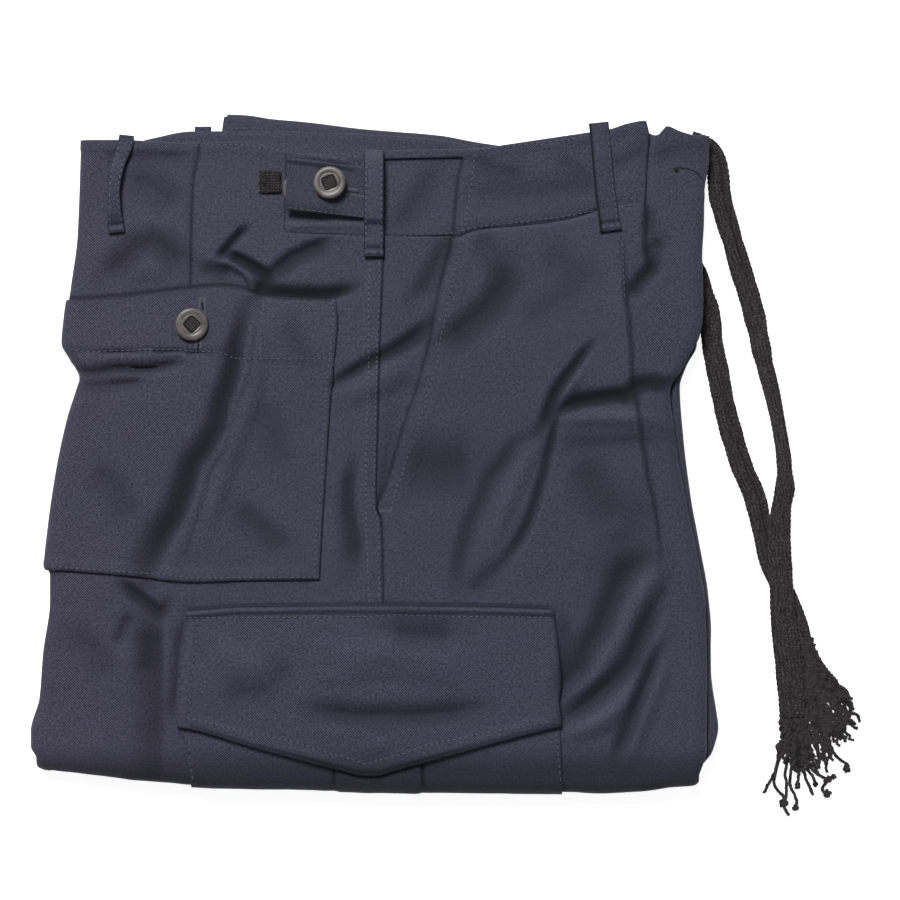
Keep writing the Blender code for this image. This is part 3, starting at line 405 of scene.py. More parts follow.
def close_group(graph, geometry, material):
    """The end of every tree: real geometry with its material."""
    real = graph.node("GeometryNodeRealizeInstances", {"Geometry": geometry})
    dressed = graph.node("GeometryNodeSetMaterial", {"Geometry": real, "Material": material})
    graph.join(dressed, graph.tree.nodes.new("NodeGroupOutput").inputs[0])
    print("tree", graph.tree.name, "with", len(graph.tree.nodes), "nodes")


def grown(name, guide, tree, inputs):
    """Runs a tree on a guide object and keeps the result as a plain mesh object; the guide goes away."""
    modifier = guide.modifiers.new("grow", "NODES")
    modifier.node_group = tree
    for item in tree.interface.items_tree:
        if item.in_out == "INPUT" and item.name in inputs:
            modifier[item.identifier] = inputs[item.name]
    bpy.context.view_layer.update()
    mesh = bpy.data.meshes.new_from_object(guide.evaluated_get(bpy.context.evaluated_depsgraph_get()))
    mesh.name = name
    guide.modifiers.remove(modifier)
    bpy.data.objects.remove(guide)
    mesh.shade_smooth()
    return stand(name, mesh)


YARN_INPUTS = {"Yarn radius": 0.00095, "Yarn sides": 8, "Yarn material": BRAID}
yarns, given = node_group("yarns", YARN_INPUTS)
ring = yarns.node("GeometryNodeCurvePrimitiveCircle",
                  {"Radius": given["Yarn radius"], "Resolution": given["Yarn sides"]})
tube = yarns.node("GeometryNodeCurveToMesh", {"Curve": given["Geometry"], "Profile Curve": ring, "Fill Caps": True})
close_group(yarns, tube, given["Yarn material"])

# %% Frayed ends
# Where a braid ends and heads, the angles its yarns fan out between, its height, and the yarns' length by their share.
FRAYED = {
    "frayed_left": {"end": (238.3, -151.0), "heading": (0.03, -0.999), "spread": (-6, 13), "under": 1.7,
                    "long": [(0, 26), (0.3, 33), (0.6, 36), (1, 37)], "yarns": 27, "seed": 11},
    "frayed_right": {"end": (244.6, -110.0), "heading": (0.27, -0.963), "spread": (-17, 20), "under": 0.5,
                     "long": [(0, 74), (0.4, 74), (0.75, 62), (1, 44)], "yarns": 58, "seed": 23},
}
YARN_STATIONS = 40
YARN_FLOOR = 0.95
TUFT_YARNS = 7
FUZZ = 0.42

# Loose strands: thickness as a share of the yarn, whether it ends in a knot, and where it lies.
STRANDS = {
    "frayed_left": [
        (0.75, 0, [(232.0, -163.9), (230.8, -171.3), (229.1, -181.0), (226.3, -186.7), (224.0, -191.2),
            (222.3, -194.7)]),
        (0.8, 1, [(233.1, -166.2), (231.4, -174.7), (228.9, -183.3), (228.0, -187.8), (230.8, -193.5), (233.7, -196.9),
            (233.7, -200.4), (234.8, -203.8), (236.5, -207.2)]),
        (0.7, 0, [(236.0, -167.9), (235.7, -175.8), (234.8, -183.3), (235.4, -190.1), (234.8, -196.9),
            (235.1, -201.5)]),
        (0.8, 1, [(239.4, -167.9), (239.4, -175.8), (237.7, -183.3), (237.4, -190.1), (239.7, -194.7), (241.1, -199.2),
            (240.5, -203.8), (238.5, -203.2)]),
        (1.0, 1, [(242.2, -166.2), (242.8, -174.7), (242.2, -183.3), (241.7, -189.0)]),
        (0.8, 0, [(244.0, -174.7), (245.4, -181.0), (246.5, -186.7), (248.8, -191.2), (250.5, -195.5)]),
    ],
    "frayed_right": [
        (0.8, 1, [(254.8, -120.0), (258.2, -124.0), (260.2, -126.3), (259.9, -133.1), (260.5, -135.4), (263.6, -136.5),
            (265.0, -138.8), (263.9, -141.6), (261.6, -143.9)]),
        (0.85, 1, [(259.3, -140.5), (262.8, -144.5), (265.6, -147.1), (269.0, -146.8), (271.6, -149.9), (269.0, -152.5),
            (266.2, -151.9), (263.9, -149.6)]),
        (0.75, 1, [(257.1, -143.4), (261.6, -149.6), (265.6, -154.2), (267.9, -156.5), (266.8, -159.3)]),
        (0.3, 0, [(267.9, -153.0), (270.8, -153.9), (273.0, -155.0)]),
        (0.65, 1, [(253.6, -156.5), (258.8, -167.3), (262.8, -171.9), (266.8, -175.8), (270.5, -178.1),
            (269.9, -180.4)]),
        (0.9, 0, [(249.1, -160.5), (253.6, -171.3), (257.6, -175.8), (258.5, -182.7)]),
        (1.0, 1, [(245.7, -166.2), (249.9, -180.4), (255.4, -185.0), (259.1, -186.7), (257.6, -189.0), (255.9, -192.4),
            (258.2, -194.9), (261.3, -194.1)]),
        (0.75, 0, [(245.1, -170.1), (247.9, -181.5), (250.8, -185.5), (252.2, -189.5)]),
        (0.8, 0, [(250.8, -134.8), (257.1, -147.3), (261.1, -157.6), (262.8, -165.6)]),
        (0.8, 0, [(246.8, -160.5), (249.1, -169.0), (250.8, -177.6), (253.6, -183.3)]),
    ],
}
# Tufts: where they sit and how wide they are.
TUFTS = {
    "frayed_left": [(233.7, -200.4, 2.3), (240.5, -202.6, 1.4), (241.7, -190.1, 1.4)],
    "frayed_right": [
        (258.8, -186.7, 2.0), (258.8, -194.7, 2.0), (262.2, -185.0, 1.1), (266.8, -156.5, 2.3), (270.2, -149.6, 1.7),
        (269.9, -180.4, 1.9), (265.0, -147.3, 1.7), (251.9, -189.5, 1.0),
    ],
}


def lay(data, line, thickness):
    """Adds one strand to the curve: its points in millimetres and its thickness at each of them."""
    spline = data.splines.new("POLY")
    spline.points.add(len(line) - 1)
    spline.points.foreach_set("co", np.column_stack([line * MM, np.ones(len(line))]).ravel())
    spline.points.foreach_set("radius", thickness)


def close_mass(data, spec, chance):
    """Yarns that leave the end of a braid side by side, crimped, and lie on one another."""
    heading = np.array([*spec["heading"], 0.0])
    heading /= np.linalg.norm(heading)
    across = np.array([-heading[1], heading[0], 0.0])
    s = np.linspace(0, 1, YARN_STATIONS)
    for k in range(spec["yarns"]):
        share = (k + chance.random()) / spec["yarns"]
        angle = math.radians(np.interp(share, [0, 1], spec["spread"]) + chance.normal(0, 2.5))
        long = float(curve(spec["long"], share)) * chance.uniform(0.72, 1.0)
        away = heading * math.cos(angle) + across * math.sin(angle)
        root = np.array([*spec["end"], 0.0]) - heading * 2.5 + across * (share - 0.5) * BRAID_WIDTH * 0.9
        slow = chance.uniform(0.8, 2.6) * np.sin(s * chance.uniform(3, 10) + chance.uniform(0, 6)) * s
        crimp = chance.uniform(0.5, 1.6) * np.sin(s * long * 2 * np.pi / chance.uniform(3.8, 9) + chance.uniform(0, 6))
        aim = heading[None, :] * (1 - s)[:, None] + away[None, :] * s[:, None]
        sideways = np.array([-away[1], away[0], 0.0])
        line = root + aim * (long * s)[:, None] + sideways * (slow + crimp)[:, None]
        rest = YARN_FLOOR + chance.uniform(0, 1.6) * (1 - 0.5 * s)
        start = spec["under"] + 0.3 + (BRAID_THICK - 0.6) * chance.random()
        line[:, 2] = np.maximum(rest + (start - rest) * (1 - s) ** 3 + 0.3 * np.sin(s * long * 1.6 + k), YARN_FLOOR)
        lay(data, line, chance.uniform(0.75, 1.1) * (1 - 0.25 * s ** 4) * (1 + 0.14 * np.sin(s * long * 2.1 + k)))


def loose_strands(data, name):
    walk = np.arange(YARN_STATIONS)
    for number, (thick, knotted, path) in enumerate(STRANDS[name]):
        line = np.column_stack([smooth_route(path, YARN_STATIONS), 0.75 + 0.25 * (1 + np.sin(walk / 5 + number))])
        for k, seed in ((0, 1.5), (1, 7.5)):
            line[:, k] += [0.35 * noise.noise(Vector((step / 3.1, number, seed))) for step in walk]
        knot = 1 + 0.7 * knotted * (walk > YARN_STATIONS - 4)
        lay(data, line, 1.3 * thick * (1 + 0.15 * np.sin(walk * 1.3)) * knot)


def tufts(data, name, chance):
    s = np.linspace(0, 1, 9)
    for x, y, size in TUFTS[name]:
        for _ in range(TUFT_YARNS):
            turn, curl = chance.uniform(0, 2 * np.pi), chance.normal(0, 2.0)
            angle = turn + curl * s
            line = np.column_stack([x + size * s * np.cos(angle), y + size * s * np.sin(angle),
                                    0.7 + 1.1 * chance.random() * np.sin(np.pi * s)])
            lay(data, line, chance.uniform(0.45, 0.85) * (1 - 0.4 * s))


def frayed(name):
    """The open end of a braid: its close mass, its loose strands and its tufts, swept to tubes, roughened and given
    painted shade.
    """
    chance = np.random.default_rng(FRAYED[name]["seed"])
    data = bpy.data.curves.new(name, "CURVE")
    data.dimensions = "3D"
    close_mass(data, FRAYED[name], chance)
    loose_strands(data, name)
    tufts(data, name, chance)
    print(name, len(data.splines), "strands")
    piece = grown(name, stand(name + "_guide", data), yarns.tree, YARN_INPUTS)
    noise.seed_set(FRAYED[name]["seed"])
    for vertex in piece.data.vertices:
        shift = noise.noise_vector(vertex.co / MM * 1.1) * FUZZ * MM
        vertex.co += Vector((shift.x, shift.y, max(shift.z, -vertex.co.z)))
    # Painted shade: the yarns are darker on their sides, lower down and in random patches, as shade between the yarns.
    shade = [1.9 * (1 - v.normal.z) + 0.25 - 0.22 * v.co.z / MM + 2.2 * noise.noise(v.co / MM * 0.3)
             for v in piece.data.vertices]
    darken(piece.data, np.clip(shade, 0, 1))
    return piece


for piece, path, name, nodes in ((cord_a, path_a, "frayed_left", ("drawstring_a", "fringe_a")),
                                 (cord_b, path_b, "frayed_right", ("drawstring_b", "fringe_b"))):
    fringe = frayed(name)
    settle(piece, "black_braid", nodes[0])
    settle(fringe, "black_braid", nodes[1])
    tuple(path[0] * MM)
    [tuple(p * MM) for p in [*path[::6], path[-1]]]

# %% [markdown]
# ## The drill
#
# The cloth is a cotton satin drill: fine steep ribs, a soft sheen where it curves up to the light, and small
# slubs that break the ribs into a speckle. The ribs follow the cloth and not the room, so the
# finish reads a UV map that is measured in metres along and across the cloth. Two sines make the ribs and the weft
# between them, one noise makes them waver, and a coarser one varies the navy at random between a bluer and a more
# violet tone. Painted light is added to this: the navy turns more violet towards the sides of the plan, as the light
# colours it there, and the lower half of the plan is painted lighter. Where the attribute hollow is high, the navy
# turns to a deep colour of painted shade.

# %% Drill finish
# NAVY deep is the colour of painted shade, in creases, along seams and towards the bottom edge.
NAVY = {"low": (0.004, 0.004, 0.010, 1), "blue": (0.059, 0.062, 0.098, 1), "violet": (0.068, 0.059, 0.096, 1),
        "deep": (0.003, 0.003, 0.006, 1)}
RIB_PERIOD = 0.0015


def drill():
    finish = Finish("navy_drill", {"Specular IOR Level": 0.5, "Sheen Weight": 0.08, "Sheen Roughness": 0.45,
                                   "Sheen Tint": (0.75, 0.78, 1.0, 1), "Specular Tint": (0.82, 0.84, 1.0, 1)})
    uv, weft, warp = finish.place()
    waver = finish.cloud(uv, 420.0) - 0.5
    slant = (weft + warp + waver * 0.0005).wave(RIB_PERIOD)
    counter = (weft - warp + waver * 0.0009).wave(RIB_PERIOD)
    ribs = slant * 0.27 + counter * 0.23 + 0.5
    patches = finish.cloud(uv, 90.0, 1.0).maths("POWER", 2.0)
    slub = finish.cloud(uv, 700.0)
    grain = finish.cloud(uv, 1900.0)
    finish.relief(ribs * 0.35 + slub * 0.4 + grain * 0.5, 0.0005)
    # Painted light: the navy turns more violet towards the sides of the plan, besides a coarse random tone, and the
    # last term of the speckle paints the lower half of the plan lighter.
    tone_and_light = (weft - 0.05).maths("ABSOLUTE") * 4.0 + finish.cloud(uv, 11.0) - 0.5
    speck_and_light = (ribs - 0.5) * patches * 3.4 + slub * 1.9 + grain * 1.6 - 1.3 + (warp * -0.9).maths("MAXIMUM", 0.0)
    cloth = finish.mix(speck_and_light, NAVY["low"], finish.mix(tone_and_light, NAVY["blue"], NAVY["violet"]))
    # Painted shade: where the attribute hollow is high the navy turns to its deep colour, and the cloth grows rougher
    # there.
    hollow = finish.paint(cloth, NAVY["deep"])
    finish.join(hollow * 0.3 + 0.62, finish.shader.inputs["Roughness"])
    return finish.material


DRILL = drill()
print("finish", DRILL.name)

# %% [markdown]
# ## The cutting plan
#
# A pattern cutter marks lines on the cloth: seams, edges and folds. Here nine columns run from the waist to the
# fold across the thighs and seven rows from the back to the front. Every piece is cut from one grid laid
# between these lines, so neighbouring pieces always share an edge. The numbers repeat those of the CAD
# part; only the grid between the lines is finer.

# %% Columns and rows of the plan
SEAM_GAP = 0.3
CLOTH = 1.4
PATCH = 1.1
BAND_LIFT = 0.5
COLUMNS = {
    "back_fold": [(-168, 179), (-169, 144), (-170, 122), (-173, 99), (-176, 76), (-177, 63), (-172, 53), (-167, 43),
        (-169, 36), (-174, 20), (-180, -8), (-185, -42), (-187, -64), (-185, -69), (-185, -84), (-189, -114),
        (-191, -139), (-196, -158), (-196, -167), (-193, -173), (-192, -180)],
    "back_seam": [(-100, 175), (-104, 150), (-105, 93), (-106, 30), (-107, -88), (-110, -114), (-112, -155),
        (-107, -166), (-104, -189)],
    "tab_edge": [(-50, 170), (-51, 124), (-57, 87), (-63, -69), (-64, -88), (-64, -189)],
    "pocket_edge": [(-20, 175), (-21, 122), (-22, 87), (-21, 76), (-23, 52), (-25, 29), (-27, 0), (-30, -48),
        (-31, -69), (-28, -88), (-24, -141), (-21, -179), (-21, -192)],
    "side_seam": [(5, 173), (5, 124), (3, 62), (2, 19), (1, -31), (4, -38), (5, -84), (3, -141), (2, -192)],
    "slash": [(50, 179), (50, 169), (47, 156), (46, 144), (44, 124), (39, 105), (35, 87), (30, 60), (24, 38),
        (16, 15), (9, -9), (3.4, -26), (1.7, -31), (4, -38), (5, -84), (3, -141), (2, -192)],
    "flap_edge": [(103, 184), (100, 122), (97, 87), (97, -27), (101, -87), (104, -115), (105, -146), (107, -191)],
    "fly": [(156.4, 181), (155.6, 171), (154, 140), (153, 116), (156, 106), (158, 87), (157, 30), (160, -37),
        (162, -84), (165, -141), (167, -192)],
    "front_edge": [(191.8, 179), (191.6, 166), (189.6, 155), (188.8, 148), (188.4, 130), (187, 109), (187, 92),
        (187, 81), (185, 67), (181, 59), (175, 48), (169, 39), (168, 34), (170, 17), (173, -5), (178, -32),
        (185, -66), (188, -84), (189, -129), (189, -167), (185, -182), (180, -191)],
}
ROWS = {
    "waist": [(-168, 179), (-146, 179), (-105, 177), (-77, 178), (-54, 173), (-43, 171), (-20, 171), (-6, 172),
        (26, 173), (60, 174), (74, 176), (94, 179), (121, 183), (134, 185), (144, 188.2), (154.6, 189.9),
        (156.2, 182.6), (161, 181.6), (166.5, 187), (174, 184), (186, 180.4), (191.8, 177.6)],
    "band_seam": [(-170, 126), (-51, 126), (-31, 125), (-9, 124), (44, 124), (60, 129), (83, 131), (111, 135),
        (128, 140), (156, 143), (188, 144)],
    "pocket_top": [(-174, 87), (-145, 89), (-128, 91), (-111, 93), (-88, 95), (-77, 94), (-63, 89), (-22, 87),
        (4, 89), (37, 95), (94, 103), (154, 109), (187, 109)],
    "pocket_bottom": [(-185, -66), (-145, -69), (-103, -73), (-70, -72), (4, -71), (43, -69), (103, -66), (185, -61)],
    "flap_top": [(-185, -89), (-107, -88), (-77, -86), (5, -85), (71, -86), (101, -87), (128, -84), (190, -79)],
    "flap_point": [(-194, -151), (-157, -152), (-112, -155), (-66, -167), (-21, -178.5), (-6, -182), (1, -182),
        (10, -179.5), (30, -174), (71, -163), (104, -155), (128, -152), (194, -149)],
    "thigh_fold": [(-192, -180), (-174, -182), (-131, -187), (-88, -190), (-20, -191), (24, -192), (105, -193),
        (128, -194), (155, -193), (169, -191), (180, -190)],
}
SIDE_ROLL = {"reach": 9.0, "half": 3.1, "angles": [15, 30, 45, 60, 75, 90, 104, 118, 131.5, 145]}
END_ROLL = {"reach": 7.5, "floor": 0.8, "angles": [13, 26, 38, 50, 61, 72, 82, 92, 103.5, 115, 130, 145]}
PILE = {
    "station": [194, 160, 125, 60, 0, -70, -130, -165, -194],
    "back": [8.5, 9.0, 10.0, 13.0, 15.5, 17.0, 17.0, 16.6, 15.6],
    "middle": [12.0, 13.5, 16.0, 20.5, 23.0, 24.5, 24.2, 22.6, 18.0],
    "front": [11.0, 12.0, 13.5, 16.5, 18.0, 19.0, 19.0, 18.4, 16.4],
}
print(len(COLUMNS), "columns and", len(ROWS), "rows")

# %% [markdown]
# ## Folds placed one by one
#
# A cloth simulation gives lively folds, but never the ones in the photograph, and a garment that somebody has
# folded and smoothed is mostly flat with a few creases in telling places. So each fold is a line of a table: its
# path over the plan, its half width to the left and to the right of the path as one walks along it, and its
# height, below zero for a trough. A pair of widths widens the fold from one end to the other.

# %% Table of folds
# Name, path, half width to the left and to the right, and height.
FOLDS = [
    ("seat arch", [(-154.5, 99), (-144, 109.5), (-135, 117.5), (-127, 120), (-119.5, 116.5), (-113.5, 110.5),
     (-107, 103.5)], 8, 8, -1.7),
    ("seat swell", [(-141, 98), (-128, 108), (-118, 99)], 9, 9, 0.8),
    ("seat band", [(-155.5, 168.5), (-131, 169), (-105.5, 169)], 4, 6, -0.9),
    ("gather upper", [(-73, 129), (-78, 124.5), (-85, 116.5), (-90, 111)], 2.0, 1.8, -3.8),
    ("gather lower", [(-83, 113.8), (-74, 109.6), (-68, 106), (-60, 101.5)], 2.4, 2.8, -4.2),
    ("gather blob", [(-99.5, 106.5), (-92, 103), (-81.5, 101)], 5, 4, -1.8),
    ("gather ridge", [(-92, 110.5), (-81.5, 108), (-73.5, 103), (-69, 96.5), (-69, 88.5)], 4.5, 4, 2.5),
    ("hip swag", [(-25.5, 121), (-37, 117), (-47.5, 112), (-54.5, 106.5), (-60, 100.5)], 6, 3, -3.0),
    ("swag foot", [(-60, 102.5), (-62.5, 97), (-65.5, 92)], 4, 4, -2.4),
    ("pocket mouth", [(-67.5, 92), (-57, 90.4), (-42.5, 89.4), (-25.5, 89.4), (-11.5, 93)], 5, 1.7, -3.8),
    ("through the pocket", [(-72, 84.5), (-78, 62), (-80, 47.5), (-82.5, 38), (-85.5, 29), (-88.5, 14.5), (-95, 2),
     (-102, -7), (-106.5, -22), (-111, -35), (-119.5, -48), (-126.5, -63.5), (-129.5, -75)], (4, 4), (5, 11), -3.9),
    ("pocket ridge", [(-69, 87.5), (-71, 70.5), (-74.5, 44.5), (-80, 30.5), (-84.5, 16), (-89, 2), (-96, -8.5),
     (-99, -22), (-104.5, -38), (-109.5, -52), (-113, -67.5)], (4, 5), (9, 13), 1.5),
    ("pocket swell", [(-64.5, 70.5), (-71, 30.5), (-81.5, 2), (-91, -26.5), (-99.5, -52)], 9, 9, 1.2),
    ("pocket corner hollow", [(-80, -29.5), (-64.5, -42.5), (-48.5, -56)], 7, 9, -1.1),
    ("notch", [(-169.5, 44), (-161.5, 46.5), (-145.5, 48.5), (-128, 48.5), (-111, 51.5)], 2.8, 3.2, -3.2),
    ("notch ridge", [(-166, 42.5), (-151, 43.5), (-134, 44)], 4, 4, 0.8),
    ("notch lower", [(-164.5, 38), (-151, 39.5), (-131, 41)], 3, 5, -1.3),
    ("hip crease", [(-25, 37), (-18, 42.5), (-8.5, 48.5), (1, 53.5), (10.5, 58), (20, 63.5), (28.5, 70), (33, 75)],
     (3, 5), (2.5, 3.5), -3.1),
    ("hip shadow", [(36, 62), (44, 67), (54.5, 75.5), (64.5, 84), (73, 96), (78.5, 108.5)], 7, 9, -1.8),
    ("hip swell", [(-17, 30.5), (3, 41), (23, 50.5)], 8, 10, 0.9),
    ("facing hollow", [(44, 123), (37.5, 110.5), (31.5, 99), (23.5, 87.5)], 6, 6, -1.4),
    ("beside the pocket", [(-11, -3.5), (-13.5, -18), (-13.5, -28), (-12, -39), (-9.5, -52), (-10.5, -66.5)],
     (2, 2.5), (4, 9), -1.7),
    ("front hollow", [(16.5, -5), (37, -8.5), (56.5, -5)], 16, 15, -1.4),
    ("front fold upper", [(124.5, 63), (118.5, 56), (112.5, 48), (106.5, 40), (102.5, 33.5), (99.5, 25), (97, 17.5),
     (93, 10)], (1.8, 3), (2.4, 3.8), -3.3),
    ("front fold trail", [(91, 10), (80, 5), (73, -6), (65.5, -15), (62, -25), (54.5, -41), (49, -60.5), (46.5, -79)],
     4, 5, -1.4),
    ("front ridge", [(117, 46.5), (109, 35), (103, 26), (98.5, 17), (92, 4.5)], 6, 4, 1.3),
    ("front trail ridge", [(90, 2), (81.5, -15), (74, -32), (66.5, -52)], 6, 6, 0.8),
    ("front fold lower", [(108.5, 28), (103.5, 21), (102, 13.5), (100.5, 5), (98, -3.5), (96, -13), (93, -23),
     (89.5, -34), (86, -42.5), (80.5, -52), (71, -65.5)], (1.6, 2.8), (1.8, 3.2), -2.7),
    ("front fold hem", [(71, -63.5), (62.5, -72), (54, -80)], 6, 6, -1.2),
    ("knee hollow", [(107, 24.5), (117, 29), (128, 30.5), (137.5, 32), (147, 29.5)], (5, 5), (2.8, 2.8), -4.0),
    ("knee hollow front", [(142.5, 33), (151, 38.5), (159.5, 39.5), (168, 34)], 5, 3.5, -3.4),
    ("knee ridge", [(106.5, 19.5), (128, 20), (151, 20), (167, 17)], 5, 6, 1.1),
    ("knee lower", [(105.5, 4.5), (128, 5), (151, 6), (169.5, 7.5)], 6, 8, -1.3),
    ("fly hollow", [(160, 111), (157, 104.5), (151, 98), (145, 89)], 4, 4, -3.1),
    ("fly fold", [(157.5, 139), (158, 132), (156.5, 124)], 2.4, 4.5, -1.3),
    ("fly bend", [(162, 128), (161.5, 118), (157, 107)], 5, 5, -0.7),
    ("tab gap", [(-51, 134.6), (-36, 133.4), (-24, 132.6), (-7, 132)], 4.4, (3.8, 2.2), -1.2),
    ("gap ridge", [(-50, 129.6), (-30, 130), (-8, 130.4)], 1.6, 1.8, 0.9),
    ("tab ridge", [(-50, 170.8), (-34, 169.2), (-17, 167)], 2.2, 1.8, 1.0),
    ("hem line", [(-176, 58.4), (-150, 57.6), (-112, 58.2), (-101, 57), (-88, 56.6)], 1.4, 1.2, -1.0),
    ("fly soft", [(164.5, 120), (158, 117), (154, 111.5)], 4, 4, -1.2),
    ("thigh one", [(160, -58.5), (151, -62), (143, -66.5), (137.5, -76.5), (133, -86.5), (128, -100.5), (121.5, -109),
     (117, -120.5), (110, -130), (105, -138)], 6, 7.5, -2.1),
    ("thigh ridge one", [(162.5, -54), (161.5, -66.5), (155, -75.5), (148, -88), (142.5, -98.5), (137.5, -108),
     (132, -116.5), (125.5, -125), (117, -133), (106.5, -140)], 9, 7, 1.5),
    ("thigh two", [(164.5, -81), (158, -90), (151.5, -104.5), (145.5, -118.5), (135.5, -129.5), (122.5, -140),
     (113, -147.5), (106, -153.5)], 5, 5.5, -2.4),
    ("thigh ridge two", [(164.5, -97), (158.5, -107.5), (154, -116), (151, -126.5), (146.5, -134), (141.5, -142),
     (134, -149), (121.5, -156), (107, -160)], 8, 6, 1.3),
    ("thigh three", [(162, -111), (157, -122.5), (153, -132.5), (149.5, -142), (145.5, -153), (141, -164),
     (137.5, -174.5)], 3.5, 4.5, -2.3),
    ("thigh ridge three", [(164.5, -120), (157.5, -140.5), (151.5, -154), (146, -168), (141, -180.5)], 7, 6, 1.0),
    ("beside the flap", [(107, -90.5), (109.5, -106.5), (108.5, -122.5), (106.5, -136)], 4, 5, -1.2),
    ("below the pocket", [(-144, -74), (-136, -79.5), (-128, -86), (-122, -90.5), (-117.5, -84)], 3.2, 4.2, -2.5),
    ("seat foot crease", [(-139, -91.5), (-142.5, -100), (-146.5, -109.5)], 2.6, 3.6, -1.5),
    ("seat foot hollow", [(-129.5, -99.5), (-128, -112), (-129.5, -127)], 6, 7, -1.3),
    ("hem side", [(-123.5, -87), (-122.5, -117.5), (-122.5, -149), (-123.5, -181.5)], (2.5, 2.5), (12, 12), -1.1),
    ("back flap edge", [(-107, -92.5), (-110, -111), (-111.5, -132), (-114, -153)], 2.6, 5, -1.5),
    ("flap hollow", [(8, -101), (24, -103), (46, -103.5)], 10, 8, -1.6),
    ("across the flap", [(-38, -144.5), (-8.5, -147.5), (25.5, -147.5), (62, -144)], 6, 7, -1.9),
    ("flap swell", [(-25.5, -119), (14, -115), (54, -122.5)], 16, 16, 1.1),
    ("flap swell back", [(-92, -108), (-70, -122), (-56, -138)], 12, 14, 0.9),
    ("pleat edge back", [(-22.5, -178), (-22.8, -184), (-23, -192)], 1.0, 1.6, -1.2),
    ("pleat edge front", [(26.5, -175), (26.6, -183), (26.8, -192)], 1.6, 1.0, -1.2),
    ("flap hollow back", [(-88, -140), (-62, -134), (-44, -120)], 9, 9, -0.9),
    ("waist hollow", [(54, 147), (82.5, 148), (123.5, 150)], 8, 8, -0.9),
    ("band hollow", [(-140, 158), (-124, 150), (-112, 140)], 9, 9, -1.0),
    ("waist streak", [(56, 166), (70, 160), (86, 158)], 5, 6, -0.9),
    ("waist streak two", [(104, 168), (116, 160), (126, 148)], 5, 6, -0.7),
    ("below the band", [(60, 124), (68, 112), (70, 98)], 6, 7, -0.9),
    ("front soft one", [(98, 118), (110, 104), (126, 96)], 9, 9, -0.8),
    ("front soft two", [(84, 72), (100, 84), (118, 92)], 9, 9, -0.7),
    ("front soft three", [(120, -2), (126, -20), (138, -40)], 9, 12, -1.2),
    ("thigh shade", [(152, -20), (150, -45), (140, -62), (126, -78)], 9, 14, -0.8),
    ("lower back soft", [(-176, -100), (-160, -112), (-150, -130)], 8, 8, -0.9),
    ("pocket soft one", [(-160, -8), (-146, -22), (-138, -40)], 8, 9, -0.9),
    ("pocket soft two", [(-62, 30), (-56, 8), (-50, -10)], 7, 9, -0.8),
    ("pocket soft three", [(-48, 76), (-44, 62), (-34, 48)], 6, 7, -0.7),
    ("inset hollow", [(13, 126.5), (24.5, 143.5), (36, 162.5)], 7, 7, -0.9),
    ("waist fold front", [(135, 162.5), (145.5, 167.5), (155.5, 174)], 5, 5, -0.7),
    ("fly band dark", [(158, 167.5), (174, 172), (188.5, 173)], 6, 6, -0.8),
]
# Sharp low steps, at the pleat of the front and beside the fly: path, how far the step fades to its right, and height.
# Each step also gets a painted dark line of shade beside it.
EDGES = [
    ([(140, 121.5), (142, 90.5), (143.5, 78), (145, 59), (145.5, 41.5), (149, 23.5), (151.5, 5),
     (154.5, -14), (157.5, -26.5), (160, -41), (161.5, -55), (160.5, -64)], 18, 1.7),
    ([(154.2, 147), (153.9, 140), (154.2, 130), (153.2, 118), (156, 108), (151.5, 99)], 10, 0.45),
]
# How much painted shade each trough gets, darker or paler than its depth alone would make it.
DARKER = {
    "gather upper": 1.3, "gather lower": 1.7, "pocket mouth": 1.4, "front fold upper": 1.3, "knee hollow front": 1.5,
    "across the flap": 1.2, "tab gap": 0.2, "knee hollow": 1.4, "hem line": 1.2, "front fold lower": 1.1,
    "hip shadow": 1.4, "front hollow": 1.2, "hem side": 1.5, "beside the pocket": 1.4, "inset hollow": 1.1,
    "waist hollow": 0.8, "facing hollow": 1.1, "front fold trail": 1.2, "knee lower": 0.6,
    "pocket corner hollow": 1.2, "flap hollow": 0.9, "pleat edge back": 2.0, "pleat edge front": 2.0,
    "thigh one": 1.1, "thigh two": 1.1,
}
print(len(FOLDS), "folds")

# %% Height of the cloth
FOLD_LIMIT = 6.0
FOLD_DEPTH = 1.3
FOLD_FADE = 16.0
TROUGH_DARK = 2.9
LINE_DARK = 0.85
EDGE_SHARE = 0.45
SHOULDER = 1.75
PLAN_STEPS = 30


def swapped(points):
    """The same line with its two coordinates changed over."""
    return [(y, x) for x, y in points]


def column_x(name, y):
    """Where a column line stands at height y of the plan; the outer ones stop where the cloth starts to roll."""
    reach = {"back_fold": SIDE_ROLL["reach"], "front_edge": -SIDE_ROLL["reach"]}.get(name, 0.0)
    return curve(swapped(COLUMNS[name]), y) + reach


def row_y(name, x):
    """Where a row line stands at x of the plan; the last one stops where the cloth starts to roll."""
    return curve(ROWS[name], x) + (END_ROLL["reach"] if name == "thigh_fold" else 0.0)


def from_line(name, x, y, below=0.0):
    """Distance from a named line, or from one that runs a little below it, and the place along it."""
    return (x - column_x(name, y), y) if name in COLUMNS else (y + below - row_y(name, x), x)


def between(line, names, number, at):
    """A line between two named neighbours: 2.5 is half way from the third to the fourth."""
    low = min(int(number), len(names) - 2)
    share = number - low
    return (1 - share) * line(names[low], at) + share * line(names[low + 1], at)


def plan(columns, rows):
    """Places where numbered column and row lines cross, found by walking along one and the other in turn."""
    x, y = np.zeros((2, len(columns), len(rows)))
    for _ in range(PLAN_STEPS):
        for j, row in enumerate(rows):
            y[:, j] = between(row_y, list(ROWS), row, x[:, j])
        for i, column in enumerate(columns):
            x[i] = between(column_x, list(COLUMNS), column, y[i])
    return x, y


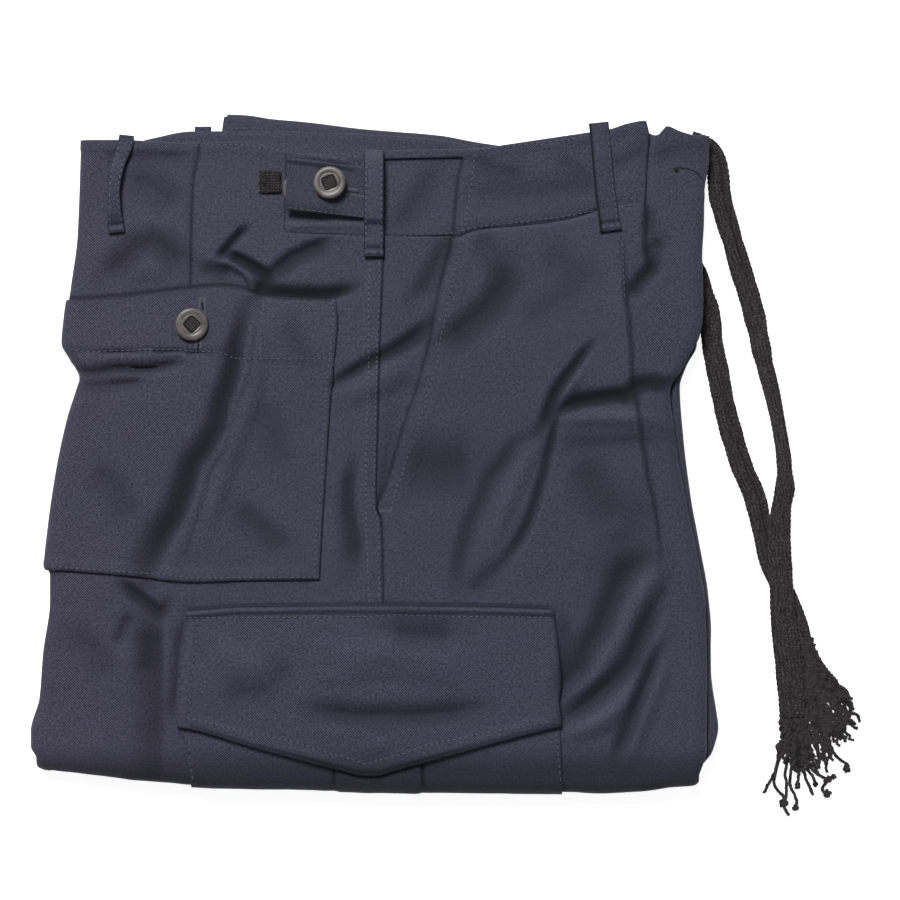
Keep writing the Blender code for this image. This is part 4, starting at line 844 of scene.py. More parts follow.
def near_path(x, y, path):
    """Signed distance from a path, left of it above zero, and how far along it the nearest point is, 0 to 1."""
    best, side, along = np.full(x.shape, 1e9), np.zeros(x.shape), np.zeros(x.shape)
    lengths = [math.dist(a, b) for a, b in zip(path, path[1:])]
    done = 0.0
    for (ax, ay), (bx, by), length in zip(path, path[1:], lengths):
        ux, uy = (bx - ax) / length, (by - ay) / length
        t = np.clip((x - ax) * ux + (y - ay) * uy, 0, length)
        distance = np.hypot(x - ax - t * ux, y - ay - t * uy)
        closer = distance < best
        best = np.where(closer, distance, best)
        side = np.where(closer, ux * (y - ay) - uy * (x - ax), side)
        along = np.where(closer, (done + t) / sum(lengths), along)
        done += length
    return np.where(side < 0, -best, best), along


def around(x, y, path, room):
    """Which of the points lie in the box round a path, so that a short fold isn't worked out everywhere."""
    xs, ys = zip(*path)
    return (x > min(xs) - room) & (x < max(xs) + room) & (y > min(ys) - room) & (y < max(ys) + room)


def taper(along):
    """A fold is full in its middle and runs out towards both ends."""
    return np.clip(np.minimum(along, 1 - along) * 4 + 0.25, 0, 1)


def pair(width, height):
    """The half width at both ends; a trough has a narrow bottom and long soft shoulders."""
    first, last = width if isinstance(width, tuple) else (width, width)
    return [side * (SHOULDER if height < 0 else 1.0) for side in (first, last)]


def rumple(x, y, size, seed):
    """Slow unevenness between -1 and 1 at a given size in millimetres."""
    flat = [noise.noise(Vector((a / size, b / size, seed))) for a, b in zip(np.ravel(x), np.ravel(y))]
    return np.array(flat).reshape(np.shape(x))


def folds(x, y):
    """Sum of all folds at a place, kept within a limit, and how much painted shade it gets, from 0 to 1: deep in a
    trough and beside a step.
    """
    total, depth = np.zeros(x.shape), np.zeros(x.shape)
    for name, path, left, right, height in FOLDS:
        (l0, l1), (r0, r1) = pair(left, height), pair(right, height)
        near = around(x, y, path, max(l0, l1, r0, r1))
        distance, along = near_path(x[near], y[near], path)
        wide = np.where(distance > 0, l0 + (l1 - l0) * along, r0 + (r1 - r0) * along)
        q = np.clip(np.abs(distance) / wide, 0, 1)
        shape = (1 - q * q) ** 2 if height > 0 else (1 - np.sqrt(q * q + 0.012)) ** 2 * 1.2
        total[near] += height * FOLD_DEPTH * taper(along) * shape
        # Painted shade in the trough, by its depth and by DARKER.
        depth[near] += max(-height, 0) / TROUGH_DARK * DARKER.get(name, 1.0) * taper(along) * (1 - q * q) ** 2
    for path, wide, height in EDGES:
        near = around(x, y, path, wide)
        distance, along = near_path(x[near], y[near], path)
        beyond = np.clip(1 + distance / wide, 0, 1) ** 2
        total[near] += height * taper(along) * np.where(distance < 0, beyond, np.clip(1 - distance / 1.6, 0, 1) ** 2)
        # Painted shade: a dark line beside the step.
        depth[near] += LINE_DARK * taper(along) * np.exp(-((distance - 0.9) / 1.25) ** 2)
    return FOLD_LIMIT * np.tanh(total / FOLD_LIMIT), np.tanh(depth)


def pile_height(x, y):
    """Height of the smooth upper surface: a low pillow between the two edges."""
    across = np.clip(x / 195, -1, 1)
    back, middle, front = (curve(list(zip(PILE["station"], PILE[k])), y) for k in ("back", "middle", "front"))
    return middle + (np.where(across < 0, back, front) - middle) * np.abs(across) ** 2.4


def edge_room(x, y):
    """From 0 at the start of a roll to 1 well inside, so that folds run out before the edges of the cloth."""
    inside = np.minimum(x - column_x("back_fold", y), column_x("front_edge", y) - x)
    inside = np.minimum(inside, y - row_y("thigh_fold", x))
    inside = np.minimum(inside, (row_y("waist", x) - y) * 2)
    return EDGE_SHARE + (1 - EDGE_SHARE) * soft_step(inside, FOLD_FADE)


def top_height(x, y):
    """Height of the outer side of the cloth, folds and all."""
    return pile_height(x, y) + folds(x, y)[0] * edge_room(x, y)


print("cloth height in the middle, mm:", np.round(top_height(np.zeros(1), np.zeros(1)), 1))

# %% [markdown]
# ## The master grid
#
# The upper cloth rolls over the back, the front and the thigh fold on a little under half an oval. The grid below
# follows the plan in the flat part and turns over at its edges, and every point also knows which way is out, so
# that a patch or a flap can be laid on top by moving its points outwards. Small puckers run along the
# seams, because thread always draws the cloth in a little.

# %% Master grid
BACK, SEAM, TAB, POCKET, SIDE, SLASH, FLAP, FLY, FRONT = range(9)
WAIST, BAND, POCKET_TOP, POCKET_LOW, FLAP_TOP, FLAP_LOW, THIGH = range(7)
NOTCH_TOP = 0.1
SLASH_END = 2.75
FLAP_SEWN = 4.12
PUCKER_SIZE = 6.5
# Seams that pucker: line, reach of the puckers and their height.
PUCKERS = [
    ("side_seam", 9, 0.34), ("back_seam", 6, 0.16), ("band_seam", 7, 0.2), ("slash", 9, 0.3), ("pocket_top", 8, 0.28),
    ("pocket_edge", 8, 0.3), ("pocket_bottom", 8, 0.3), ("flap_top", 8, 0.3), ("flap_point", 9, 0.3), ("waist", 8, 0.3),
]
# Painted shade along seams and edges where a gap or a step shades the cloth: line, where it starts and ends, its width,
# how far it is below the line, how dark.
SEAM_SHADE = [
    ("back_seam", 92, 180, 1.0, 0, 0.7), ("slash", -26, 168, 1.2, 0, 0.6), ("side_seam", -85, 110, 0.8, 0, 0.25),
    ("flap_top", -107, 101, 1.0, 0.6, 0.9), ("flap_top", -107, 101, 0.8, 5.1, 0.6),
    ("pocket_top", -190, -24, 1.4, -1.0, 0.8), ("flap_point", -104, 105, 0.9, -2.0, 0.75),
]


def steps(*runs):
    """Numbers of lines from one named line to the next: each run is (first, last, count)."""
    numbers = [runs[0][0]]
    for first, last, count in runs:
        numbers += [first + (last - first) * (k + 1) / count for k in range(count)]
    return numbers


flat_columns = steps((BACK, SEAM, 40), (SEAM, TAB, 30), (TAB, POCKET, 21), (POCKET, SIDE, 18), (SIDE, SLASH, 21),
                     (SLASH, FLAP, 46), (FLAP, FLY, 34), (FLY, FRONT, 14))
flat_rows = steps((WAIST, NOTCH_TOP, 4), (NOTCH_TOP, BAND, 28), (BAND, POCKET_TOP, 22), (POCKET_TOP, SLASH_END, 68),
                  (SLASH_END, POCKET_LOW, 22), (POCKET_LOW, FLAP_TOP, 11), (FLAP_TOP, FLAP_SEWN, 10),
                  (FLAP_SEWN, FLAP_LOW, 40), (FLAP_LOW, THIGH, 18))
side_angles, end_angles = np.radians(SIDE_ROLL["angles"]), np.radians(END_ROLL["angles"])
ROLL = len(side_angles)


def nearest(numbers, number):
    return min(range(len(numbers)), key=lambda k: abs(numbers[k] - number))


def column_at(number):
    """Place of a numbered column line in the master grid, which has the rolled edge before the first one."""
    return ROLL + nearest(flat_columns, number)


def row_at(number):
    return nearest(flat_rows, number)


def oval_tilt(angle, reach, half):
    """Direction of the surface of an oval roll at an angle from its top."""
    return np.arctan2(np.sin(angle) / reach, np.cos(angle) / half)


# Painted shade along the seams of the table above.
def seam_shade(x, y):
    total = np.zeros(x.shape)
    for name, low, high, width, below, dark in SEAM_SHADE:
        away, along = from_line(name, x, y, below)
        total = np.maximum(total, dark * np.exp(-(away / width) ** 2) * ((along > low) & (along < high)))
    return total


def puckers(x, y):
    total = np.zeros(x.shape)
    for k, (name, reach, height) in enumerate(PUCKERS):
        away, along = from_line(name, x, y)
        near = np.abs(away) < reach
        ripple = rumple(along[near], away[near] * 0.25, PUCKER_SIZE, 3.0 + k)
        total[near] += height * ripple * (1 - np.abs(away[near]) / reach) ** 1.5 * 2
    return total


def seam_groove(x, y):
    """The back seam is sewn down, so it lies in a groove above the pocket."""
    return -0.8 * np.clip(1 - np.abs(x - column_x("back_seam", y)) / 2.4, 0, 1) ** 1.5 * ((y > 92) & (y < 180))


def small_relief(x, y):
    """What no fold of the table says: slow unevenness of the stack and puckers at the seams."""
    stack = 0.6 * rumple(x, y, 34, 1.5) + 0.2 * rumple(x, y, 13, 8.5) + 0.07 * rumple(x, y, 4.6, 4.5)
    return stack + puckers(x, y) + seam_groove(x, y)


def master_grid():
    """Points, outward directions, flat measures and painted shade of the upper cloth with its rolled edges."""
    x, y = (np.pad(grid, ((ROLL, ROLL), (0, len(end_angles))), mode="edge") for grid in plan(flat_columns, flat_rows))
    side = np.concatenate([-side_angles[::-1], np.zeros(len(flat_columns)), side_angles])[:, None]
    end = np.concatenate([np.zeros(len(flat_rows)), end_angles])[None, :]

    smooth = pile_height(x, y)
    fade = np.clip(np.cos(side), 0, 1) * np.clip(np.cos(end), 0, 1)
    rolled = 0.6 * rumple(x + 40 * side, y - 20 * end, 26, 5.5) + 0.25 * rumple(x + 30 * side, y - 30 * end, 9, 2.5)
    height, depth = folds(x, y)
    fold = (height * edge_room(x, y) + small_relief(x, y)) * fade + rolled * (1 - fade)
    half = (smooth - END_ROLL["floor"]) / (1 - math.cos(end_angles[-1]))
    drop = SIDE_ROLL["half"] * (1 - np.cos(side)) - fold

    end_tilt = oval_tilt(end, END_ROLL["reach"], half)
    side_tilt = oval_tilt(side, SIDE_ROLL["reach"], SIDE_ROLL["half"])
    px = x + SIDE_ROLL["reach"] * np.sin(side)
    py = y - END_ROLL["reach"] * np.sin(end) + drop * np.sin(end_tilt)
    pz = smooth - half * (1 - np.cos(end)) - drop * np.cos(end_tilt)

    slope_x = (top_height(x + 1, y) - top_height(x - 1, y)) / 2 * fade
    slope_y = (top_height(x, y + 1) - top_height(x, y - 1)) / 2 * fade
    long = np.sqrt(slope_x ** 2 + slope_y ** 2 + 1)
    nx, ny, nz = -slope_x / long, -slope_y / long, 1 / long
    nx, nz = nx * np.cos(side_tilt) + nz * np.sin(side_tilt), nz * np.cos(side_tilt) - nx * np.sin(side_tilt)
    ny, nz = ny * np.cos(end_tilt) - nz * np.sin(end_tilt), nz * np.cos(end_tilt) + ny * np.sin(end_tilt)

    flat = np.stack([x + SIDE_ROLL["reach"] * side, y - 1.3 * END_ROLL["reach"] * end], axis=2)
    # Painted shade: darker towards the bottom edge and over its roll, in the troughs and along the seams.
    under = 0.6 * soft_step(-164 - y, 18) + 1.3 * (1 - np.cos(end))
    dark = np.clip(depth * fade + under + seam_shade(x, y), 0, 1)
    return np.stack([px, py, pz], axis=2), np.stack([nx, ny, nz], axis=2), flat, dark


POINTS, OUT, FLAT, PAINTED_SHADE = master_grid()
print("master grid", POINTS.shape[0], "by", POINTS.shape[1])

# %% [markdown]
# ## From a grid to a piece of cloth
#
# A piece keeps some cells of a grid and gets an inner side one thickness below. A Solidify modifier could do
# that, but it leaves square rims, and a turned or folded hem is round. So the wall is built by hand: the rim of
# each side draws in, and a third ring half way down stays out, which gives every free edge a soft nose.

# %% Cloth walls
RIM_DRAW = 0.28
SIDE_DRAW = 0.04


def wall(name, outer, thick, flat, kept=None, finish=DRILL, sides=SIDE_DRAW, hollow=None, out=(0, 0, 1)):
    """A closed wall below a grid of points, with rounded free edges. kept says which cells it has, if not all."""
    inner = outer - np.asarray(out) * thick
    if kept is None:
        kept = np.ones((outer.shape[0] - 1, outer.shape[1] - 1), bool)
    columns, rows = kept.shape
    centre = (outer[:-1, :-1] + outer[1:, :-1] + outer[:-1, 1:] + outer[1:, 1:]) / 4
    use, pull = np.zeros(outer.shape[:2]), np.zeros(outer.shape)
    for i, j in ((0, 0), (0, 1), (1, 0), (1, 1)):
        use[i:columns + i, j:rows + j] += kept
        pull[i:columns + i, j:rows + j] += np.where(kept[..., None], centre, 0)
    used, rim = use > 0, (use > 0) & (use < 4)
    pull = pull / np.maximum(use, 1)[..., None] - outer
    pull = np.where(rim[..., None], pull / np.maximum(np.linalg.norm(pull, axis=2), 1e-6)[..., None], 0)
    count = int(used.sum())
    number, edge = -np.ones((2, *use.shape), int)
    number[used] = np.arange(count)
    edge[rim] = np.arange(int(rim.sum())) + 2 * count
    draw = pull * (sides + RIM_DRAW)
    vertices = np.concatenate([(outer + draw)[used], (inner + draw)[used], ((outer + inner) / 2 + pull * sides)[rim]])

    faces = []
    for i, j in zip(*np.nonzero(kept)):
        ring = [(i, j), (i, j + 1), (i + 1, j + 1), (i + 1, j)]
        corner = [int(number[p]) for p in ring]
        faces += [corner, [k + count for k in reversed(corner)]]
        beside = [i > 0 and kept[i - 1, j], j < rows - 1 and kept[i, j + 1],
                  i < columns - 1 and kept[i + 1, j], j > 0 and kept[i, j - 1]]
        for k in range(4):
            if not beside[k]:
                a, b = corner[k], corner[(k + 1) % 4]
                p, q = int(edge[ring[k]]), int(edge[ring[(k + 1) % 4]])
                faces += [[b, a, p, q], [q, p, a + count, b + count]]

    def of_points(grid):
        return np.concatenate([grid[used], grid[used], grid[rim]])

    return add(name, vertices, faces, finish, of_points(flat), hollow=None if hollow is None else of_points(hollow))


PIECES = {}


def cloth(node, outer, thick, flat, **more):
    """A wall of drill that stands for a CAD node, kept under the name of that node."""
    PIECES[node] = wall(node + "_cloth", outer, thick, flat, **more)
    print(node, len(PIECES[node].data.polygons), "faces")


def cut(node, columns, rows, keep=None, lift=0.0, thick=CLOTH, rise=None):
    """A piece cut from the master grid: its columns and rows, the cells it keeps and how far out it lies."""
    at = np.ix_(columns, rows)
    points, out = POINTS[at], OUT[at]
    more = rise(points[..., 0], points[..., 1])[..., None] if rise else 0.0
    kept = np.array([[keep(i, j) for j in rows[:-1]] for i in columns[:-1]]) if keep else None
    cloth(node, points + out * (lift + more), thick, FLAT[at], kept=kept, hollow=PAINTED_SHADE[at], out=out)

# %% [markdown]
# ## Back, front and waistband
#
# Along a felled side seam the cloth lies three deep, and so it does in a hem. We only see a low step where the
# extra layers end, just beside the row of stitches. A small rise function for each piece adds that step.

# %% Upper cloth
FELL_WIDE = 8.0
FELL_RISE = 0.5
TURNED_RISE = 0.35
TUCK = 4
all_rows = range(POINTS.shape[1])
band, notch_row = row_at(BAND), row_at(NOTCH_TOP)
side, slash, fly = column_at(SIDE), column_at(SLASH), column_at(FLY)
below = -(CLOTH + SEAM_GAP)


def hem(inside, wide, fade=2.5):
    """1 where a turned edge lies double, and soft down to 0 beyond its width."""
    return 1 - soft_step(inside - wide, fade)


def felled(x, y):
    """The back edge of the side seam lies proud of the front."""
    seam = hem(column_x("side_seam", y) - x, FELL_WIDE, 2.2) * soft_step(row_y("band_seam", x) - y, 2)
    return FELL_RISE * seam + TURNED_RISE * hem(row_y("waist", x) - y, 5)


def front_rise(x, y):
    """The edge of the slash pocket is turned back; beyond the fly line the front lies one cloth lower at the waist."""
    slash_edge = TURNED_RISE * hem(x - column_x("slash", y), 13.5) * soft_step(y + 32, 6)
    past = x - column_x("fly", y)
    above = soft_step(y - row_y("band_seam", x) + 3 * (1 - soft_step(x - 130, 6)), 1.5)
    level = np.maximum(soft_step(past + 0.8, 1.6), above)
    return slash_edge + below * level * (1 - 0.5 * soft_step(past - 0.6, 3)) * soft_step(y - 92, 34)


def facing_rise(x, y):
    """The facing leaves the side seam level with the back, and sinks below the front towards the opening."""
    away = np.maximum(column_x("slash", y) - x, 0)
    wide = np.maximum(column_x("slash", y) - column_x("side_seam", y), 0.5)
    return (CLOTH + 0.1) * soft_step(away / wide - 0.15, 0.8)


def band_edges(x, y):
    """A waistband is thicker along its upper edge, and thins out to its seams, where it dives under its neighbours."""
    inside = np.minimum(x - column_x("tab_edge", y), y - row_y("band_seam", x))
    thin = BAND_LIFT * hem(np.minimum(inside, column_x("fly", y) - x), 0, 5)
    dive = (1.8 - 1.5 * soft_step(x - 132, 6)) * soft_step(-inside, 1.7)
    return TURNED_RISE * hem(row_y("waist", x) - y, 4.5) - thin - dive


cut("back_panel", range(side + 1), all_rows, lambda i, j: i < column_at(TAB) or j >= band, rise=felled)
cut("front_panel", range(slash, POINTS.shape[0]), all_rows,
    lambda i, j: j >= band or (i >= fly - TUCK and i < column_at(FRONT) + 6), rise=front_rise)
cut("waistband", range(column_at(TAB) - 2, fly + 1), all_rows[:band + 3],
    lambda i, j: not (side <= i < slash and j >= notch_row), lift=BAND_LIFT, rise=band_edges)
cut("waistband_inset", range(side - TUCK, slash + TUCK + 1), all_rows[notch_row - 3:band + 1], lift=-0.9, thick=PATCH)
cut("pocket_facing", range(side, slash + TUCK + 1), all_rows[band:row_at(SLASH_END) + 1], lift=below, thick=PATCH,
    rise=facing_rise)

# %% Pockets and flap
BOX_PLEAT = (-22.5, 26.5)
BOX_PLEAT_SLOPE = 2.2
BOX_PLEAT_RISE = 0.7
FLAP_RISE = 0.9
FLAP_DEPTH = 70.0
FLAP_LOOSE = 0.2
patch = SEAM_GAP + PATCH


def pocket_hem(x, y):
    """The wide hem of the back pocket, and its turned edges."""
    inside = np.minimum(column_x("pocket_edge", y) - x, y - row_y("pocket_bottom", x))
    return 0.38 * np.maximum(hem(row_y("pocket_top", x) - y, 35), hem(inside, 5, 2))


def pleat_rise(x, y):
    """The box pleat below the flap lies one cloth proud."""
    inside = np.minimum(x - BOX_PLEAT[0], BOX_PLEAT[1] - x) / BOX_PLEAT_SLOPE
    under = (row_y("flap_point", x) - y) / BOX_PLEAT_SLOPE
    return BOX_PLEAT_RISE * np.clip(inside, 0, 1) * np.clip(under, 0, 1)


def flap_rise(x, y):
    """The flap stands a little proud along its pointed edge, and is thickest between its edge and its stitches."""
    drop = row_y("flap_top", x) - y
    sides = np.minimum(x - column_x("back_seam", y), column_x("flap_edge", y) - x)
    edge = np.minimum(y - row_y("flap_point", x), sides)
    ridge = np.exp(-((drop - 3.1) / 1.3) ** 2)
    return FLAP_RISE * np.clip(drop / FLAP_DEPTH, 0, 1) + 0.45 * hem(edge, 6) + 0.9 * ridge


flap_top = row_at(FLAP_TOP)
flap_columns = [*range(column_at(SEAM), side + 1), *range(slash + 1, column_at(FLAP) + 1)]
cut("back_pocket", range(2, column_at(POCKET) + 1), range(row_at(POCKET_TOP), row_at(POCKET_LOW) + 1), lift=patch,
    thick=PATCH, rise=pocket_hem)
cut("cargo_pocket", flap_columns, all_rows[flap_top:-2], lift=patch, thick=PATCH, rise=pleat_rise)
cut("cargo_flap", flap_columns, range(flap_top, row_at(FLAP_LOW) + 1), lift=2 * patch + FLAP_LOOSE, thick=PATCH,
    rise=flap_rise)

# %% [markdown]
# ## The layers below
#
# The right half and both legs are folded underneath. Only their edges show, as a stack of soft lips. One closed
# form stands for all of them: rings round the outline at many heights, which bulge out at each lip
# and draw in between two, with a little drift so that no two lips line up.

# %% Hidden layers
LEG_FRONT = [
    (180, 181), (182.8, 173), (185, 166), (187.4, 158), (188.4, 148), (186, 130), (180, 114), (178, 98), (179, 84),
    (183, 70), (184, 62), (178, 50), (174, 38), (176, 9), (180, -23), (185, -51), (190, -79), (192, -105),
    (192, -125), (195, -148), (196, -156), (193, -170), (187, -178), (182, -188),
]
LEG_TOP = [
    (-168, 172), (-105, 170), (-88, 170), (-86.5, 194.3), (-74, 193.8), (-60, 191.5), (-43, 190), (-9, 186),
    (37, 182), (59, 178), (94, 173), (128, 168), (190, 162),
]
# Where two sides of the outline meet, roughly.
LEG_CORNERS = {("back", "waist"): (-168, 165), ("back", "thigh"): (-190, -180), ("front", "thigh"): (180, -188),
               ("front", "waist"): (176, 160)}
CORNER_STEPS = 12
# Lips from the floor up: where each ends as a share of the height, and how far it stands in at the back,
# the thigh fold, the front and the waist.
LEG_LIPS = [
    (0.00, None), (0.25, (1.0, 10.6, 0.7, 0.4)), (0.50, (0.5, 10.0, 0.4, 0.0)), (0.75, (0.6, 9.0, 0.0, 0.7)),
    (1.00, (0.8, 8.6, 0.5, 0.3)),
]
LIP_DEPTH = 2.4
LIP_RINGS = 7
LIP_DRIFT = 0.7
ROLL_ROOM = 6.2
LEAST_ROLL = 1.2
INNER_ROOM = 10.4
LEG_SHELF = (4.4, 10.5, 4.0, 4.5)
LEG_DOME = (8.0, 15.0, 8.0, 32.0)
DOME_RINGS = ((1.0, 7.6), (0.88, INNER_ROOM), (0.66, INNER_ROOM), (0.36, INNER_ROOM))
RING_STEPS = {"back": 120, "thigh": 110, "front": 125, "waist": 130}


def leg_ring(back, thigh, front, waist):
    """Plan of one ring of the hidden layers, standing in from the outline by the four distances."""
    upright = {"back": lambda y: curve(swapped(COLUMNS["back_fold"]), y) + back,
               "front": lambda y: curve(swapped(LEG_FRONT), y) - front}
    level = {"thigh": lambda x: curve(ROWS["thigh_fold"], x) + thigh, "waist": lambda x: curve(LEG_TOP, x) - waist}
    corners = []
    for (one, other), (x, y) in LEG_CORNERS.items():
        for _ in range(CORNER_STEPS):
            x = float(upright[one](y))
            y = float(level[other](x))
        corners.append((x, y))
    ring = []
    for k, (edge, count) in enumerate(RING_STEPS.items()):
        s = (np.arange(count) + 0.5) / count
        x, y = (a + (b - a) * s for a, b in zip(corners[k], corners[(k + 1) % 4]))
        ring.append(np.column_stack([upright[edge](y), y] if edge in upright else [x, level[edge](x)]))
    return np.concatenate(ring)


def under_cloth(flat, room=ROLL_ROOM):
    """How high the hidden layers reach below the upper cloth."""
    return np.maximum(pile_height(*flat.T) - room, LEAST_ROLL)


def folded_legs():
    rings = []
    for lip, ((low, _), (high, inset)) in enumerate(zip(LEG_LIPS, LEG_LIPS[1:])):
        drift = LIP_DRIFT * rumple(*leg_ring(*inset).T, 31, 20.5 + lip)
        for k in range(LIP_RINGS):
            q = -1 + 2 * (k + 0.5) / LIP_RINGS
            inward = LIP_DEPTH * (1 - math.sqrt(1 - q * q)) ** 1.2
            flat = leg_ring(*(s + inward for s in inset))
            flat = flat + unit(flat.mean(axis=0) - flat) * np.maximum(drift, 0)[:, None]
            share = low + (high - low) * (k + 0.5) / LIP_RINGS if 0 < lip or k else 0.0
            rings.append(np.column_stack([flat, share * under_cloth(flat)]))
    shelf, inside = leg_ring(*LEG_SHELF), leg_ring(*LEG_DOME)
    rings.append(np.column_stack([shelf, under_cloth(shelf)]))
    rings += [np.column_stack([inside * share, under_cloth(inside * share, room)]) for share, room in DOME_RINGS]
    middle = float(pile_height(np.zeros(1), np.zeros(1))[0]) - INNER_ROOM
    vertices = np.concatenate(rings + [[(0.0, 0.0, middle), (0.0, 0.0, 0.0)]])
    away = vertices[:, :2] / np.maximum(np.linalg.norm(vertices[:, :2], axis=1), 1)[:, None]
    uv = vertices[:, :2] + away * (20 - vertices[:, 2:3])
    count = len(inside)
    last, top_middle, floor_middle = (len(rings) - 1) * count, len(vertices) - 2, len(vertices) - 1
    faces = skin(len(rings), count)
    for k in range(count):
        faces += [[last + k, last + (k + 1) % count, top_middle], [(k + 1) % count, k, floor_middle]]
    print("hidden layers", len(faces), "faces")
    return add("folded_legs_cloth", vertices, faces, DRILL, uv)


PIECES["folded_legs"] = folded_legs()

# %% Right waistband and its loop
FAR_WAIST = [
    (-136, 178), (-128, 180), (-105, 184), (-54, 184), (-26, 183), (14, 181), (37, 179), (57, 175), (72, 170),
]
FAR_FREE = 178
FAR_COVERED = 148
FAR_ROOM = 3.7
FAR_THICK = 1.5
FAR_DROOP = 0.5
RIGHT_LOOP = {"x": (-103.2, -93.6), "y": (186.9, 172.0), "below": 0.4, "thick": 1.3}


def even(xs, ys, columns, rows):
    """Two grids of numbers that run evenly between their ends, one along the columns and one along the rows."""
    return np.meshgrid(np.linspace(*xs, columns), np.linspace(*ys, rows), indexing="ij")


def far_height(x, share):
    """Height of the right waistband's upper side, from its free edge, share 0, to its covered part, share 1."""
    return pile_height(x, FAR_FREE + (FAR_COVERED - FAR_FREE) * share) - FAR_ROOM - FAR_DROOP * (1 - share) ** 2


def waistband_right():
    """Inner side of the right waistband, standing out above the left one."""
    x, share = even((-135, 70), (0, 1), 130, 24)
    share = share ** 1.2
    far = curve(FAR_WAIST, x) + 0.25 * rumple(x, 0 * x, 17, 30.5)
    y = far + (FAR_COVERED - far) * share
    outer = np.stack([x, y, far_height(x, share) + 0.3 * hem(far - y, 3.5, 1.5)], axis=2)
    cloth("waistband_right", outer, FAR_THICK, outer[..., 1::-1])


def belt_loop_right():
    """The top of the right half's belt loop, standing out below its waistband."""
    x, y = even(RIGHT_LOOP["x"], RIGHT_LOOP["y"], 9, 12)
    outer = np.stack([x, y, far_height(x, 0.0 * y) - FAR_THICK - RIGHT_LOOP["below"]], axis=2)
    cloth("belt_loop_right", outer, RIGHT_LOOP["thick"], outer[..., :2], sides=0.0)


waistband_right()
belt_loop_right()

# %% [markdown]
# ## Belt loops and adjuster tab
#
# A belt loop is a narrow strip, folded and stitched along both edges, that stands off the waistband in the
# middle and is sewn down at its ends. We carry a crowned strip along a short path over the cloth. The tab is
# wider: it lifts over the hidden button at its free end and runs under the middle loop at the other.

# %% Belt loops
# Their middle lines from the waist down: x, y, height over the cloth and width.
LOOPS = {
    "belt_loop_back": [(-141.5, 181.5, 0.2, 8.5), (-142.0, 177, -0.1, 9.0), (-146.5, 164, 2.6, 8.0),
        (-148.5, 150, 3.0, 7.0), (-148.3, 138, 2.0, 8.0), (-147.5, 130, -0.05, 9.5), (-147, 125.5, -0.1, 9.5)],
    "belt_loop_side": [(-0.6, 172.8, 0.4, 11.4), (-0.6, 166, 3.4, 11.4), (-0.6, 152, 4.6, 11.4),
        (-0.6, 134.5, 4.3, 11.4), (-0.6, 129, 1.8, 11.4), (-0.6, 118, 1.4, 11.4), (-0.6, 111.8, 1.0, 11.4)],
    "belt_loop_front": [(127.4, 188.6, 0.3, 11.4), (128.3, 180, 0.4, 11.4), (129.6, 164, 1.5, 11.6),
        (131, 150, 1.5, 11.8), (133.0, 135, 0.4, 11.8), (134.2, 126.5, 0.05, 12.4)],
}
LOOP_THICK = 1.2
LOOP_CROWN = 0.35
LOOP_ALONG = 100
LOOP_ACROSS = 13
# How much higher the left edge of a loop stands than its right one.
LOOP_TILT = {"belt_loop_back": 0.0, "belt_loop_side": -0.6, "belt_loop_front": 2.0}
LOOP_SEED = {"belt_loop_back": 20, "belt_loop_side": 20, "belt_loop_front": 21}


def strip(node, path):
    """A sewn strip that follows a path over the cloth and lies a stated height above it."""
    x, y, lift, width = smooth_route(path, LOOP_ALONG).T
    heading = unit(np.column_stack([np.gradient(x), np.gradient(y)]))
    along = walked(np.column_stack([x, y]))
    rest = along[-1] - along
    nip = np.exp(-((rest - 5.2) / 1.2) ** 2)
    lip = 0.6 * np.exp(-((rest - 2.2) / 1.3) ** 2) - 0.5 * nip
    slack = np.sin(np.pi * along / along[-1])
    ground = top_height(x, np.minimum(y, curve(ROWS["waist"], x))) + BAND_LIFT
    outer, flat, dark = [], [], []
    for share in np.linspace(-0.5, 0.5, LOOP_ACROSS)[::-1]:
        crown = LOOP_CROWN * (1 - (2 * share) ** 2) + 0.12 * rumple(along, share + 0 * along, 5, LOOP_SEED[node]) + lip
        outer.append(np.column_stack([x + heading[:, 1] * width * share, y - heading[:, 0] * width * share,
                                      ground + lift + LOOP_THICK + crown + LOOP_TILT[node] * share * slack]))
        flat.append(np.column_stack([along, width * share]))
        # Painted shade: a dark line along the edges of a loop, on the front loop only along its raised left edge, and
        # darker under the end lip and at the very end.
        edge = 1.0 * (share > 0.4) if "front" in node else 0.75 * (abs(share) > 0.49)
        dark.append(edge + 0.6 * nip + 0.7 * (rest < 0.7))
    cloth(node, np.array(outer), LOOP_THICK, np.array(flat), sides=0.0, hollow=np.array(dark))


for node, path in LOOPS.items():
    strip(node, path)

# %% Adjuster tab
# Its corners, from the upper one at the back round to the lower one there.
TAB_CORNERS = np.array([(-50.2, 168.0), (4.0, 161.6), (4.0, 132.6), (-50.7, 138.4)])
TAB_LONG = 54
TAB_WIDE = 29
TAB_LIFT = [(-51, 4.5), (-34, 4.2), (-18, 2.0), (-6, 0.9), (5, 0.7)]
TAB_DROOP = 1.2
TAB_THICK = 1.5
TAB_BUTTON = (-25.6, 153.6)


